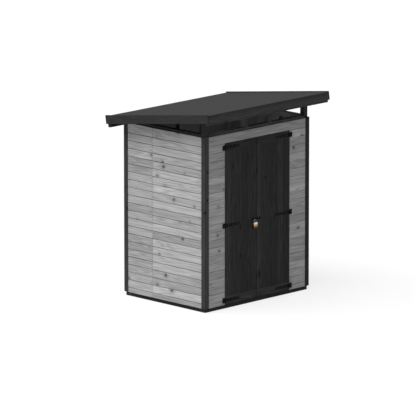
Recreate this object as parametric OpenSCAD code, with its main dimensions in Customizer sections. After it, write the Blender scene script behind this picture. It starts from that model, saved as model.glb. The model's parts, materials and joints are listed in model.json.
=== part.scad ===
// Tool shed with a single-pitch roof, a ventilation gap under it and a pair of boarded doors.
// X runs along the door front, +Y runs to the back wall, +Z is up.
// The origin is the centre of the base frame, at ground level.

/* [Base and frame] */
// Width of the timber frame along the front
body_w = 1654; // [1400:10:2400]
// Depth of the timber frame from front to back
body_d = 1268; // [1000:10:2000]
// Height of the bearers that the shed stands on
base_h = 45; // [30:5:100]
// Width of the bearers around the edge, laid flat
bearer_w = 95; // [80:5:150]
// Width of the joists between the bearers
joist_w = 45; // [35:5:95]
// Number of joists inside the base frame
joist_count = 3; // [1:2:5]
// Thickness of the floor boards
floor_t = 18; // [12:1:30]
// Side of the square posts, and depth of the wall frame
post_s = 60; // [45:1:80]
// Height of the plates at the foot of the walls
sole_h = 45; // [30:1:80]
// Height of the plates along the top of the walls
plate_h = 60; // [35:1:90]
// Width of the studs between the posts
stud_w = 45; // [35:1:60]
// Number of studs in the back wall
back_studs = 3; // [1:1:5]
// Gap left around boards and plates that are cut to fit
fit_gap = 1; // [0.5:0.5:3]

/* [Cladding] */
// Height of the top of the cladding above the ground
clad_top = 2008; // [1800:1:2200]
// Thickness of the cladding boards
clad_t = 12; // [9:1:20]
// How far the top plates stand above the cladding
plate_over = 32; // [20:1:50]
// Distance from the front of the frame to the joint between the side panels
panel_split = 828; // [500:1:900]
// Thickness of the corner boards
corner_t = 16; // [12:1:25]
// Width of each side of the corner boards
corner_w = 62; // [50:1:90]
// How far the corner boards stand above the cladding
corner_over = 8; // [0:1:15]

/* [Doors] */
// Width of the two leaves together
door_w = 1038; // [900:1:1120]
// Height of the wall over the leaves, up to the top of the cladding
over_door = 106; // [60:1:200]
// Where the leaves meet, measured from the middle of the shed
meeting_x = -12; // [-40:1:40]
// Gap between the two leaves
meeting_gap = 6; // [5:1:10]
// Gap between a leaf and the wall beside it
side_gap = 7; // [6:1:10]
// Gap over and under the leaves
end_gap = 5; // [5:1:10]
// Thickness of the door boards and rails
leaf_t = 18; // [15:1:25]
// Height of the rails across the top and bottom of a leaf
rail_h = 90; // [70:1:120]
// Height of the ledges and braces behind the boards
ledge_h = 90; // [60:1:110]
// Thickness of the ledges and braces
ledge_t = 20; // [15:1:30]
// Distance of the ledges from the sides of the leaf
ledge_in = 40; // [35:1:60]
// How far the frame laps behind the edges of a leaf
stop_lap = 13; // [10:1:16]
// Gap between the closed leaf and the stop behind it
stop_gap = 5; // [5:1:8]

/* [Hinges] */
// Height of the middle hinges above the ground
hinge_mid_z = 958; // [800:1:1100]
// Distance of the outer hinges from the top and bottom of a leaf
hinge_in = 47; // [35:1:80]
// Length of the strap on the leaf
strap_len = 230; // [150:5:350]
// Height of the strap beside the pin
strap_h = 40; // [30:1:50]
// Height of the strap at its tip
strap_tip_h = 28; // [15:1:28]
// Height of the plate on the wall
hinge_h = 58; // [50:1:80]
// Width of the plate on the wall
hinge_plate_w = 32; // [25:1:50]
// Thickness of the hinge and hasp metal
metal_t = 3; // [2:0.5:4]
// Radius of the hinge pin
pin_r = 3; // [2.5:0.5:3.5]
// Radius of the hinge barrel
barrel_r = 6; // [5.5:0.5:6.5]
// Distance of the pin from the face of the leaf
pin_out = 7; // [7:0.5:9]
// Height of the moving knuckle
knuckle_h = 24; // [18:1:28]
// Running clearance around the pin
pin_gap = 0.3; // [0.2:0.1:0.5]

/* [Hasp and padlock] */
// Height of the hasp above the ground
hasp_z = 965; // [900:1:1050]
// Height of the hasp plates
hasp_h = 26; // [20:1:40]
// Length of the hasp strap on the right leaf
hasp_len = 65; // [50:1:90]
// Length of the staple plate on the left leaf
staple_len = 75; // [60:1:100]
// Distance of the padlock from the meeting edge
lock_in = 43; // [38:1:50]
// Width of the padlock body
lock_w = 60; // [40:1:70]
// Height of the padlock body
lock_h = 70; // [45:1:80]
// Thickness of the padlock body
lock_t = 28; // [18:1:32]
// Radius of the shackle's wire
shackle_r = 4; // [3:0.5:5]
// Radius of the staple's wire
staple_r = 3.5; // [3:0.5:4]

/* [Roof] */
// How far the front edge of the roof stands above the cladding
roof_rise = 302; // [280:1:400]
// Fall of the roof towards the back, in degrees
pitch = 8.1; // [7:0.1:8.5]
// Overhang past the frame at each side
side_over = 155; // [80:1:250]
// Overhang past the frame at the front
front_over = 191; // [120:1:260]
// Overhang past the frame at the back
back_over = 172; // [120:1:220]
// Thickness of the roofing felt
felt_t = 3; // [2:0.5:5]
// Thickness of the roof boards
deck_t = 18; // [12:1:25]
// Thickness of the fascias and bargeboards
trim_t = 16; // [12:1:25]
// Height of the fascias
fascia_h = 88; // [75:1:100]
// Height of the bargeboards
barge_h = 100; // [85:1:120]
// How far the bargeboards stand above the felt
barge_up = 10; // [5:1:20]
// Width of the rafters
rafter_w = 45; // [35:1:60]
// Depth of the rafters
rafter_h = 70; // [60:1:80]
// Width of the beams behind the fascias
beam_w = 45; // [35:1:60]
// Depth of the front beam
front_beam_h = 95; // [90:1:120]
// Depth of the back beam
back_beam_h = 110; // [90:1:120]
// Distance between the middles of the two front uprights
upright_apart = 386; // [300:1:500]
// How far the pair of uprights stands right of the middle
upright_shift = 24; // [-50:1:50]

/* [Hidden] */
$fn = 48;
door_top = clad_top - over_door;
roof_top = clad_top + roof_rise;
half_w = body_w / 2;
half_d = body_d / 2;
in_w = half_w - post_s;
in_d = half_d - post_s;
plate_top = clad_top + plate_over;
plate_low = plate_top - plate_h;
sole_top = base_h + sole_h;
corner_in = corner_w - corner_t + fit_gap;
split_y = -half_d + panel_split;

leaf_face = half_d + clad_t;
leaf_low = base_h + end_gap;
open_x = door_w / 2 + side_gap;
open_top = door_top + end_gap;
stop_y = leaf_face - leaf_t - stop_gap;
stop_x = door_w / 2 - stop_lap;
stop_top = door_top - stop_lap;
pin_x = door_w / 2 + side_gap / 2;
pin_y = -leaf_face - pin_out;
hinge_z = [leaf_low + hinge_in, hinge_mid_z, door_top - hinge_in];
ledge_low = sole_top + ledge_in / 2;
ledge_high = stop_top - ledge_in / 4;
barrel_gap = 2;

roof_w = body_w + 2 * side_over;
roof_y = -half_d - front_over;
roof_len = (body_d + front_over + back_over) / cos(pitch);
deck_low = felt_t + deck_t;
rafter_low = deck_low + rafter_h;
upright_x = [upright_shift - upright_apart / 2, upright_shift + upright_apart / 2];
rafter_x = concat([-half_w + post_s / 2], upright_x, [half_w - post_s / 2]);
far = 4000;

timber = "#3a3a3a";
stain = "#2b2b2b";
board = "#9a9a9a";
iron = "#161616";

// A box from one corner to the opposite one.
module span(low, high) {
    translate(low) cube(high - low);
}

// Both a shape and its mirror image across the middle of the shed.
module both_sides() {
    children();
    mirror([1, 0, 0]) children();
}

// Places children in the roof's own frame: origin at the middle of the front edge, on top of the felt,
// Y down the slope and Z square to it.
module on_roof() {
    translate([0, roof_y, roof_top]) rotate([-pitch, 0, 0]) children();
}

// The space under the rafters, which posts and uprights are cut to.
module below_rafters() {
    on_roof() span([-far, -far, -far], [far, far, -rafter_low]);
}

// Base frame and floor.

module base_bearers() {
    color(timber) {
        for (side = [-1, 1]) {
            translate([0, side * (half_d - bearer_w / 2), base_h / 2])
                cube([body_w, bearer_w, base_h], center = true);
        }
    }
}

module base_joists() {
    joist_len = body_d - 2 * bearer_w;
    color(timber) {
        for (side = [-1, 1]) {
            translate([side * (half_w - bearer_w / 2), 0, base_h / 2])
                cube([bearer_w, joist_len, base_h], center = true);
        }
        for (i = [1:joist_count]) {
            x = -half_w + bearer_w / 2 + i * (body_w - bearer_w) / (joist_count + 1);
            translate([x, 0, base_h / 2]) cube([joist_w, joist_len, base_h], center = true);
        }
    }
}

module floor_boards() {
    floor_x = in_w - fit_gap;
    floor_y = in_d - fit_gap;
    color("#8d8f90") span([-floor_x, -floor_y, base_h], [floor_x, floor_y, base_h + floor_t]);
}

// Wall frame.

module front_posts() {
    color(timber) both_sides() intersection() {
        span([in_w, -half_d, base_h], [half_w, -in_d, roof_top]);
        below_rafters();
    }
}

module back_posts() {
    color(timber) both_sides() span([in_w, in_d, base_h], [half_w, half_d, plate_top]);
}

module sole_plates() {
    color(timber) {
        span([-in_w, in_d, base_h], [in_w, half_d, sole_top]);
        both_sides() {
            span([in_w, -in_d, base_h], [half_w, in_d, sole_top]);
            span([open_x + post_s, -half_d, base_h], [in_w, -in_d, sole_top]);
        }
    }
}

module door_sill() {
    color(timber) span([-stop_x, -stop_y, base_h], [stop_x, -in_d, sole_top]);
}

module wall_studs() {
    mid_y = (split_y - half_d) / 2;
    color(timber) {
        both_sides() for (y = [split_y, mid_y]) {
            span([in_w, y - stud_w / 2, sole_top], [half_w, y + stud_w / 2, plate_low]);
        }
        for (i = [1:back_studs]) {
            x = -in_w + i * 2 * in_w / (back_studs + 1);
            span([x - stud_w / 2, in_d, sole_top], [x + stud_w / 2, half_d, plate_low]);
        }
    }
}

// Rebated posts beside the doorway: the inner part stands behind the edge of the leaf.
module door_jambs() {
    color(timber) both_sides() {
        span([open_x, -half_d, base_h], [open_x + post_s, -in_d, plate_low]);
        span([stop_x, -stop_y, base_h], [open_x, -in_d, plate_low]);
    }
}

module door_header() {
    color(timber) {
        span([-open_x, -half_d, open_top], [open_x, -stop_y, plate_low]);
        span([-stop_x, -stop_y, stop_top], [stop_x, -in_d, plate_low]);
    }
}

module front_top_plate() {
    color(timber) span([-in_w, -half_d, plate_low], [in_w, -in_d, plate_top]);
}

module back_top_plate() {
    color(timber) span([-in_w, in_d, plate_low], [in_w, half_d, plate_top]);
}

module side_top_plates() {
    color(timber) both_sides() span([in_w, -in_d, plate_low], [half_w, in_d, plate_top]);
}

// Cladding panels and corner boards.

module side_cladding() {
    edge_y = half_d - corner_in;
    span([half_w, -edge_y, base_h], [half_w + clad_t, split_y - fit_gap / 2, clad_top]);
    span([half_w, split_y + fit_gap / 2, base_h], [half_w + clad_t, edge_y, clad_top]);
}

module left_wall_cladding() {
    color(board) mirror([1, 0, 0]) side_cladding();
}

module right_wall_cladding() {
    color(board) side_cladding();
}

module back_wall_cladding() {
    color(board) both_sides()
        span([fit_gap / 2, half_d, base_h], [half_w - corner_in, half_d + clad_t, clad_top]);
}

module beside_door() {
    span([open_x, -half_d - clad_t, base_h], [half_w - corner_in, -half_d, open_top]);
}

module front_left_cladding() {
    color(board) mirror([1, 0, 0]) beside_door();
}

module front_right_cladding() {
    color(board) beside_door();
}

module cladding_over_door() {
    edge_x = half_w - corner_in;
    color(board) span([-edge_x, -half_d - clad_t, open_top], [edge_x, -half_d, clad_top]);
}

// An L of two boards around the post at a corner of the frame.
module corner_board(side_x, side_y) {
    out_x = half_w + corner_t;
    out_y = half_d + corner_t;
    color(stain) mirror([side_x < 0 ? 1 : 0, 0, 0]) mirror([0, side_y < 0 ? 1 : 0, 0]) difference() {
        span([out_x - corner_w, out_y - corner_w, base_h], [out_x, out_y, clad_top + corner_over]);
        span([0, 0, 0], [half_w, half_d, far]);
    }
}

// Roof.

module front_uprights() {
    color(timber) for (x = upright_x) intersection() {
        span([x - post_s / 2, -half_d, plate_top], [x + post_s / 2, -in_d, roof_top]);
        below_rafters();
    }
}

module rafters() {
    front_end = trim_t + beam_w;
    color(timber) for (x = rafter_x) difference() {
        on_roof() span([x - rafter_w / 2, front_end, -rafter_low],
                       [x + rafter_w / 2, roof_len - front_end, -deck_low]);
        span([-far, -half_d, 0], [far, half_d + corner_t + fit_gap, plate_top]);
    }
}

// A beam between the bargeboards, with its front at the given distance down the slope.
module roof_beam(place, depth) {
    half_len = roof_w / 2 - trim_t;
    color(timber) on_roof() span([-half_len, place, -deck_low - depth], [half_len, place + beam_w, -deck_low]);
}

module front_roof_beam() {
    roof_beam(trim_t, front_beam_h);
}

module back_roof_beam() {
    roof_beam(roof_len - trim_t - beam_w, back_beam_h);
}

module roof_boards() {
    half_len = roof_w / 2 - trim_t;
    color("#6b5a45") on_roof() span([-half_len, trim_t, -deck_low], [half_len, roof_len - trim_t, -felt_t]);
}

module roofing_felt() {
    half_len = roof_w / 2 - trim_t;
    color("#4c4c4c") on_roof() span([-half_len, 0, -felt_t], [half_len, roof_len, 0]);
}

module fascia(place) {
    half_len = roof_w / 2 - trim_t;
    color(stain) on_roof() span([-half_len, place, -felt_t - fascia_h], [half_len, place + trim_t, -felt_t]);
}

module bargeboard() {
    color(stain) on_roof() span([roof_w / 2 - trim_t, 0, barge_up - barge_h], [roof_w / 2, roof_len, barge_up]);
}

// Hinges: the plate on the wall carries the pin, and the strap on the leaf has the bored knuckle.

module hinge_plate() {
    inner_x = pin_x + barrel_r + barrel_gap;
    fixed_h = (hinge_h - knuckle_h) / 2 - 1;
    span([inner_x, -leaf_face - metal_t, -hinge_h / 2], [inner_x + hinge_plate_w, -leaf_face, hinge_h / 2]);
    for (low = [-hinge_h / 2, hinge_h / 2 - fixed_h]) {
        translate([pin_x, pin_y, low]) cylinder(r = barrel_r, h = fixed_h);
        span([pin_x, -leaf_face - metal_t, low], [inner_x, -leaf_face, low + fixed_h]);
    }
    translate([pin_x, pin_y, -hinge_h / 2]) cylinder(r = pin_r, h = hinge_h);
}

module hinge_plates() {
    color(iron) both_sides() for (z = hinge_z) translate([0, 0, z]) hinge_plate();
}

module strap() {
    neck = barrel_r + barrel_gap;
    tip_r = strap_tip_h / 2;
    tip_x = pin_x - strap_len + tip_r;
    difference() {
        union() {
            translate([pin_x, pin_y, -knuckle_h / 2]) cylinder(r = barrel_r, h = knuckle_h);
            span([pin_x - neck, -leaf_face - metal_t, -knuckle_h / 2], [pin_x, -leaf_face, knuckle_h / 2]);
            translate([0, -leaf_face, 0]) rotate([90, 0, 0]) linear_extrude(metal_t) {
                polygon([[pin_x - neck, -strap_h / 2], [pin_x - neck, strap_h / 2], [tip_x, tip_r], [tip_x, -tip_r]]);
                translate([tip_x, 0]) circle(r = tip_r);
            }
        }
        translate([pin_x, pin_y, -hinge_h]) cylinder(r = pin_r + pin_gap, h = 2 * hinge_h);
    }
}

module straps() {
    color(iron) for (z = hinge_z) translate([0, 0, z]) strap();
}

// Door leaves. Each is drawn between its two side edges.

module leaf_boards(low_x, high_x) {
    color(stain) span([low_x, -leaf_face, leaf_low + rail_h], [high_x, -leaf_face + leaf_t, door_top - rail_h]);
}

module leaf_rails(low_x, high_x) {
    color(stain) for (low = [leaf_low, door_top - rail_h]) {
        span([low_x, -leaf_face, low], [high_x, -leaf_face + leaf_t, low + rail_h]);
    }
}

// Three ledges joined by two braces that rise from the hinge side.
module leaf_ledges(low_x, high_x, hinge_side) {
    near = low_x + ledge_in;
    across = high_x - ledge_in - near;
    mid = hinge_mid_z - ledge_h / 2;
    levels = [ledge_low, mid, ledge_high - ledge_h];
    foot = ledge_h * 0.9;
    color(stain) translate([near, -leaf_face + leaf_t + ledge_t, 0])
        translate([hinge_side < 0 ? 0 : across, 0, 0]) mirror([hinge_side < 0 ? 0 : 1, 0, 0])
        rotate([90, 0, 0]) linear_extrude(ledge_t) {
            for (z = levels) translate([0, z]) square([across, ledge_h]);
            for (i = [0, 1]) {
                bottom = levels[i] + ledge_h;
                top = levels[i + 1];
                polygon([[0, bottom], [foot, bottom], [across, top], [across - foot, top]]);
            }
        }
}

left_low = -door_w / 2;
left_high = meeting_x - meeting_gap / 2;
right_low = meeting_x + meeting_gap / 2;
right_high = door_w / 2;

// Hasp and padlock.
lock_x = left_high - lock_in;
wire_y = -leaf_face - metal_t - lock_t / 2 - 2;
staple_drop = 10;
shackle_z = hasp_z - staple_drop + staple_r + shackle_r + pin_gap;
shackle_half = lock_w / 2 - 13;
leg_low = hasp_z - 34;

module hasp_staple() {
    reach = -wire_y - leaf_face + staple_r + 2;
    color(iron) {
        span([left_high - staple_len, -leaf_face - metal_t, hasp_z - hasp_h / 2],
             [left_high - meeting_gap / 2, -leaf_face, hasp_z + hasp_h / 2]);
        translate([lock_x, -leaf_face - reach, hasp_z]) rotate([0, 90, 0]) rotate([0, 0, 180])
            rotate_extrude(angle = 180) translate([staple_drop, 0]) circle(r = staple_r);
        for (side = [-1, 1]) {
            translate([lock_x, -leaf_face - reach, hasp_z + side * staple_drop])
                rotate([-90, 0, 0]) cylinder(r = staple_r, h = reach);
        }
    }
}

module hasp_strap() {
    barrel_x = right_low + 18;
    low_x = right_low + meeting_gap / 2;
    color(iron) {
        span([low_x, -leaf_face - metal_t, hasp_z - hasp_h / 2],
             [right_low + hasp_len, -leaf_face, hasp_z + hasp_h / 2]);
        translate([barrel_x, -leaf_face - metal_t, hasp_z - hasp_h / 2]) cylinder(r = metal_t, h = hasp_h);
    }
}

module padlock_body() {
    edge = 4;
    color("#c9a24b") translate([lock_x, wire_y + lock_t / 2, leg_low - lock_h]) rotate([90, 0, 0])
        linear_extrude(lock_t) polygon([
            [-lock_w / 2 + edge, 0], [lock_w / 2 - edge, 0], [lock_w / 2, edge], [lock_w / 2, lock_h - edge],
            [lock_w / 2 - edge, lock_h], [-lock_w / 2 + edge, lock_h], [-lock_w / 2, lock_h - edge],
            [-lock_w / 2, edge]
        ]);
}

module padlock_shackle() {
    arc_z = shackle_z - shackle_half;
    color("#c8ccd0") {
        translate([lock_x, wire_y, arc_z]) rotate([90, 0, 0])
            rotate_extrude(angle = 180) translate([shackle_half, 0]) circle(r = shackle_r);
        for (side = [-1, 1]) {
            translate([lock_x + side * shackle_half, wire_y, leg_low]) cylinder(r = shackle_r, h = arc_z - leg_low);
        }
    }
}

base_bearers();
base_joists();
floor_boards();
front_posts();
back_posts();
sole_plates();
door_sill();
wall_studs();
door_jambs();
door_header();
front_top_plate();
back_top_plate();
side_top_plates();
left_wall_cladding();
right_wall_cladding();
back_wall_cladding();
front_left_cladding();
front_right_cladding();
cladding_over_door();
corner_board(-1, -1);  // front_left_corner_board
corner_board(1, -1);  // front_right_corner_board
corner_board(-1, 1);  // back_left_corner_board
corner_board(1, 1);  // back_right_corner_board
front_uprights();
rafters();
front_roof_beam();
back_roof_beam();
roof_boards();
roofing_felt();
fascia(0);  // front_fascia
fascia(roof_len - trim_t);  // back_fascia
mirror([1, 0, 0]) bargeboard();  // left_bargeboard
bargeboard();  // right_bargeboard
hinge_plates();
leaf_boards(left_low, left_high);  // left_door_boards
leaf_rails(left_low, left_high);  // left_door_rails
leaf_ledges(left_low, left_high, -1);  // left_door_ledges
mirror([1, 0, 0]) straps();  // left_door_straps
leaf_boards(right_low, right_high);  // right_door_boards
leaf_rails(right_low, right_high);  // right_door_rails
leaf_ledges(right_low, right_high, 1);  // right_door_ledges
straps();  // right_door_straps
hasp_staple();
hasp_strap();
padlock_body();
padlock_shackle();
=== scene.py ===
"""The looks of a boarded tool shed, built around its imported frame.

The frame gives every piece its place. This script adds what the eye sees: matched boards, stained
timber with its grain and knots, mineral felt, black ironwork with its screws and bolts, a brass
padlock and a pale studio.
"""

import json
import logging
import math
import random
from collections.abc import Callable
from dataclasses import dataclass, replace
from enum import Enum

import bmesh
import bpy
from mathutils import Euler, Matrix, Vector


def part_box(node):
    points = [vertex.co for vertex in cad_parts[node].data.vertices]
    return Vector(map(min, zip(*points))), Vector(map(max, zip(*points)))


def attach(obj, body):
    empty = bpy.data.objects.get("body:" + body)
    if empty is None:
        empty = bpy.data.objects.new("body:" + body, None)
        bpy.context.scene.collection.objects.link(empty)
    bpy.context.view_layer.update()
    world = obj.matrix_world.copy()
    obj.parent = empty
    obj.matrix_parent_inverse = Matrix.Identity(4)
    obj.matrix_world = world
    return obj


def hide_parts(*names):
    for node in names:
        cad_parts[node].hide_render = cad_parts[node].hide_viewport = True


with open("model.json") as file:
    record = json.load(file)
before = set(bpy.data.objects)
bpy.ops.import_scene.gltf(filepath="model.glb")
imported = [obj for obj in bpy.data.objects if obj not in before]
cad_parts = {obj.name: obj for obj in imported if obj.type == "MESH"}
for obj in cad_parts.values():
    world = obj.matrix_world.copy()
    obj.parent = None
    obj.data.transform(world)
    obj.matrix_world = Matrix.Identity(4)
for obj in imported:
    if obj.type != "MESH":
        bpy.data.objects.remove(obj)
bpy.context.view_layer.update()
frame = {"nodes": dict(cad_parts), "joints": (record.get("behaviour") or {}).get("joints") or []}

Material = bpy.types.Material
Mesh = bmesh.types.BMesh
Node = bpy.types.Node
Piece = bpy.types.Object
Socket = bpy.types.NodeSocket
Tree = bpy.types.NodeTree

LOG = logging.getLogger("tool_shed")
MM = 0.001
X, Y, Z = 0, 1, 2
UP = Vector((0, 0, 1))
FRONT = Vector((0, -1, 0))
# Places are told apart to this many decimals of a metre.
DECIMALS = 5
# Two corners closer than this are one corner.
MERGE = 0.01 * MM
# A surface that turns by less is flat, and an edge that turns by more has an arris.
FLAT = math.radians(1)
SHARP = math.radians(20)
# How far apart the random places in the wood lie, and how the tones of its boards spread.
WOOD_ROOM = 40
TONE_SPREAD = 0.7
TONE_LIMITS = (-1.5, 1.7)
BARGEBOARD_TONE = -2.8
WHITE = (1.0, 1.0, 1.0, 1.0)
# Thickness of the hinge straps and of the hasp.
IRON_THICK = 3 * MM


class Body(Enum):
    """The bodies that a piece can ride on."""

    SHED = "shed"
    LEFT_DOOR = "left_door"
    RIGHT_DOOR = "right_door"


class Slot(Enum):
    """The record's material slots."""

    FRAME = "dark_frame_timber"
    TRIM = "black_trim"
    DOOR = "black_door_timber"
    CLADDING = "grey_cladding"
    FLOOR = "floor_timber"
    ROOF = "roof_timber"
    FELT = "roofing_felt"
    IRON = "black_iron"
    BRASS = "padlock_brass"
    STEEL = "shackle_steel"


# Small tools for meshes, nodes and the frame.


def linear(code: str) -> tuple[float, float, float, float]:
    """Turns an sRGB hex colour into the linear colour that a socket takes.

    Args:
        code: The colour, such as "#8090a0".

    Returns:
        Linear red, green and blue, and an alpha of 1.
    """
    coded = [int(code[i : i + 2], 16) / 255 for i in (1, 3, 5)]
    red, green, blue = [v / 12.92 if v <= 0.04045 else ((v + 0.055) / 1.055) ** 2.4 for v in coded]
    return red, green, blue, 1.0


def add_node(
    tree: Tree, kind: str, links: dict[str | int, object] | None = None, **settings: object
) -> Node:
    """Adds one node with its settings, its fixed values and its links.

    Args:
        tree: The node tree that gets the node.
        kind: The node's type.
        links: For each input, by name or number, the socket that feeds it or its fixed value.
        **settings: The node's own properties.

    Returns:
        The new node.
    """
    node = tree.nodes.new(kind)
    for name, value in settings.items():
        setattr(node, name, value)
    for key, source in (links or {}).items():
        if isinstance(source, Socket):
            tree.links.new(source, node.inputs[key])
        else:
            node.inputs[key].default_value = source
    return node


def levels(node: str, axis: int) -> list[float]:
    """The distinct places of a CAD node's corners along one axis.

    Args:
        node: The CAD node's name.
        axis: X, Y or Z.

    Returns:
        The places in metres, in rising order.
    """
    return sorted({round(v.co[axis], DECIMALS) for v in frame["nodes"][node].data.vertices})


def middles(places: list[float]) -> list[float]:
    """The middle of each low and high place in a sorted list of pairs."""
    return [(low + high) / 2 for low, high in zip(places[0::2], places[1::2])]


def basis(along: Vector, across: Vector, out: Vector) -> Matrix:
    """The turn that takes along, across and out to three directions of the frame."""
    return Matrix([along, across, out]).transposed().to_4x4()


def facing(out: Vector) -> Euler:
    """The turn that takes straight up to an outward direction."""
    return UP.rotation_difference(out).to_euler()


def piece_from(name: str, shape: Mesh, finish: Material) -> Piece:
    """Turns a finished bmesh into an object of one material.

    Args:
        name: The piece's name.
        shape: The mesh, which is freed.
        finish: Its material.

    Returns:
        The new object, at the origin.
    """
    bmesh.ops.recalc_face_normals(shape, faces=shape.faces[:])
    mesh = bpy.data.meshes.new(name)
    shape.to_mesh(mesh)
    shape.free()
    mesh.materials.append(finish)
    piece = bpy.data.objects.new(name, mesh)
    bpy.context.scene.collection.objects.link(piece)
    return piece


def open_mesh(piece: Piece) -> Mesh:
    """Opens a piece's mesh for work, with its doubled corners merged.

    Args:
        piece: The piece.

    Returns:
        A working copy of its mesh.
    """
    shape = bmesh.new()
    shape.from_mesh(piece.data)
    bmesh.ops.remove_doubles(shape, verts=shape.verts[:], dist=MERGE)
    return shape


def close_mesh(piece: Piece, shape: Mesh) -> None:
    """Puts worked geometry back into a piece, with its faces outwards.

    Args:
        piece: The piece.
        shape: Its worked mesh, which is freed.
    """
    bmesh.ops.recalc_face_normals(shape, faces=shape.faces[:])
    shape.to_mesh(piece.data)
    shape.free()
    piece.data.update()


def settle(piece: Piece, body: Body, slot: Slot, *nodes: str) -> Piece:
    """Gives a piece its body and hides the CAD nodes that it stands for.

    Args:
        piece: The finished piece.
        body: The body that it rides on.
        slot: Not used.
        *nodes: The CAD nodes that it replaces.

    Returns:
        The same piece.
    """
    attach(piece, body.value)
    if nodes:
        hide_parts(*nodes)
    LOG.info("%s rides on %s: %d faces", piece.name, body.value, len(piece.data.polygons))
    return piece


def keep_node(node: str, finish: Material) -> None:
    """Gives a CAD node that stays its real finish.

    Args:
        node: The CAD node's name.
        finish: The material.
    """
    kept = frame["nodes"][node]
    kept.data.materials.clear()
    kept.data.materials.append(finish)
    LOG.info("%s keeps its own mesh", node)


def bake_modifiers(piece: Piece) -> None:
    """Puts what a piece's modifiers make into its own mesh, and removes the modifiers.

    Args:
        piece: The piece to fix.
    """
    bpy.context.view_layer.update()
    graph = bpy.context.evaluated_depsgraph_get()
    mesh = bpy.data.meshes.new_from_object(piece.evaluated_get(graph))
    piece.modifiers.clear()
    piece.data = mesh


def carve(piece: Piece, name: str, shape: Mesh) -> None:
    """Cuts a closed shape out of a piece.

    Args:
        piece: The piece to cut.
        name: The name of the cut.
        shape: What is cut out, which is freed.
    """
    tool = piece_from(name, shape, piece.data.materials[0])
    opening = piece.modifiers.new(name, "BOOLEAN")
    opening.object = tool
    opening.operation = "DIFFERENCE"
    opening.solver = "EXACT"
    bake_modifiers(piece)
    bpy.data.objects.remove(tool)


def join_pieces(name: str, parts: list[Piece]) -> Piece:
    """Joins meshes of one material into one object.

    Args:
        name: The name of the joined piece.
        parts: The objects to join, which are removed.

    Returns:
        The joined object.
    """
    finish = parts[0].data.materials[0]
    shape = bmesh.new()
    for part in parts:
        shape.from_mesh(part.data)
        bpy.data.objects.remove(part)
    return piece_from(name, shape, finish)


def add_prism(
    shape: Mesh, outline: list[tuple[float, float]], length: float, place: Matrix
) -> None:
    """Adds a closed prism whose section is the outline.

    Args:
        shape: The mesh that gets it.
        outline: Points across and out, in metres.
        length: How far it runs along its first axis.
        place: Takes along, across and out to the frame.
    """
    ends = [
        [shape.verts.new(place @ Vector((run, a, b))) for a, b in outline] for run in (0.0, length)
    ]
    count = len(outline)
    for i in range(count):
        j = (i + 1) % count
        shape.faces.new((ends[0][i], ends[0][j], ends[1][j], ends[1][i]))
    shape.faces.new(ends[0][::-1])
    shape.faces.new(ends[1])


def add_box(shape: Mesh, low: Vector, high: Vector) -> None:
    """Adds a plain box, to be eased or cut later.

    Args:
        shape: The mesh that gets it.
        low: Its lowest corner.
        high: Its highest corner.
    """
    section = [(low.y, low.z), (high.y, low.z), (high.y, high.z), (low.y, high.z)]
    add_prism(shape, section, high.x - low.x, Matrix.Translation((low.x, 0, 0)))


def ease(shape: Mesh, width: float, segments: int = 2) -> None:
    """Takes the sharp arris off every outer edge, as a planer or a cloth does.

    Args:
        shape: The mesh to ease.
        width: Width of the eased edge in metres.
        segments: Steps in its round.
    """
    bmesh.ops.recalc_face_normals(shape, faces=shape.faces[:])
    outer = [e for e in shape.edges if e.is_manifold and e.is_convex]
    edges = [e for e in outer if e.calc_face_angle() > SHARP]
    bmesh.ops.bevel(
        shape, geom=edges, offset=width, segments=segments, affect="EDGES", clamp_overlap=True
    )


def cut(shape: Mesh, point: Vector, outward: Vector) -> None:
    """Cuts off what lies beyond a plane and closes the cut.

    Args:
        shape: The mesh to cut.
        point: A point on the plane.
        outward: The plane's normal, towards what is cut off.
    """
    everything = shape.verts[:] + shape.edges[:] + shape.faces[:]
    found = bmesh.ops.bisect_plane(
        shape, geom=everything, plane_co=point, plane_no=outward, clear_outer=True
    )
    rim = [e for e in found["geom_cut"] if isinstance(e, bmesh.types.BMEdge) and e.is_boundary]
    bmesh.ops.holes_fill(shape, edges=rim, sides=0)


def solids_of(shape: Mesh) -> list[list[bmesh.types.BMVert]]:
    """Finds the separate solids of a mesh.

    Args:
        shape: The mesh to sort.

    Returns:
        One list of vertices for each solid.
    """
    waiting = set(shape.verts)
    found = []
    for start in shape.verts:
        if start not in waiting:
            continue
        waiting.discard(start)
        solid = [start]
        for vert in solid:
            for edge in vert.link_edges:
                other = edge.other_vert(vert)
                if other in waiting:
                    waiting.discard(other)
                    solid.append(other)
        found.append(solid)
    return found


def span_along(solid: list[bmesh.types.BMVert], axis: Vector) -> float:
    """How far a solid reaches along an axis, in metres."""
    reach = [v.co.dot(axis) for v in solid]
    return max(reach) - min(reach)


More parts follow.
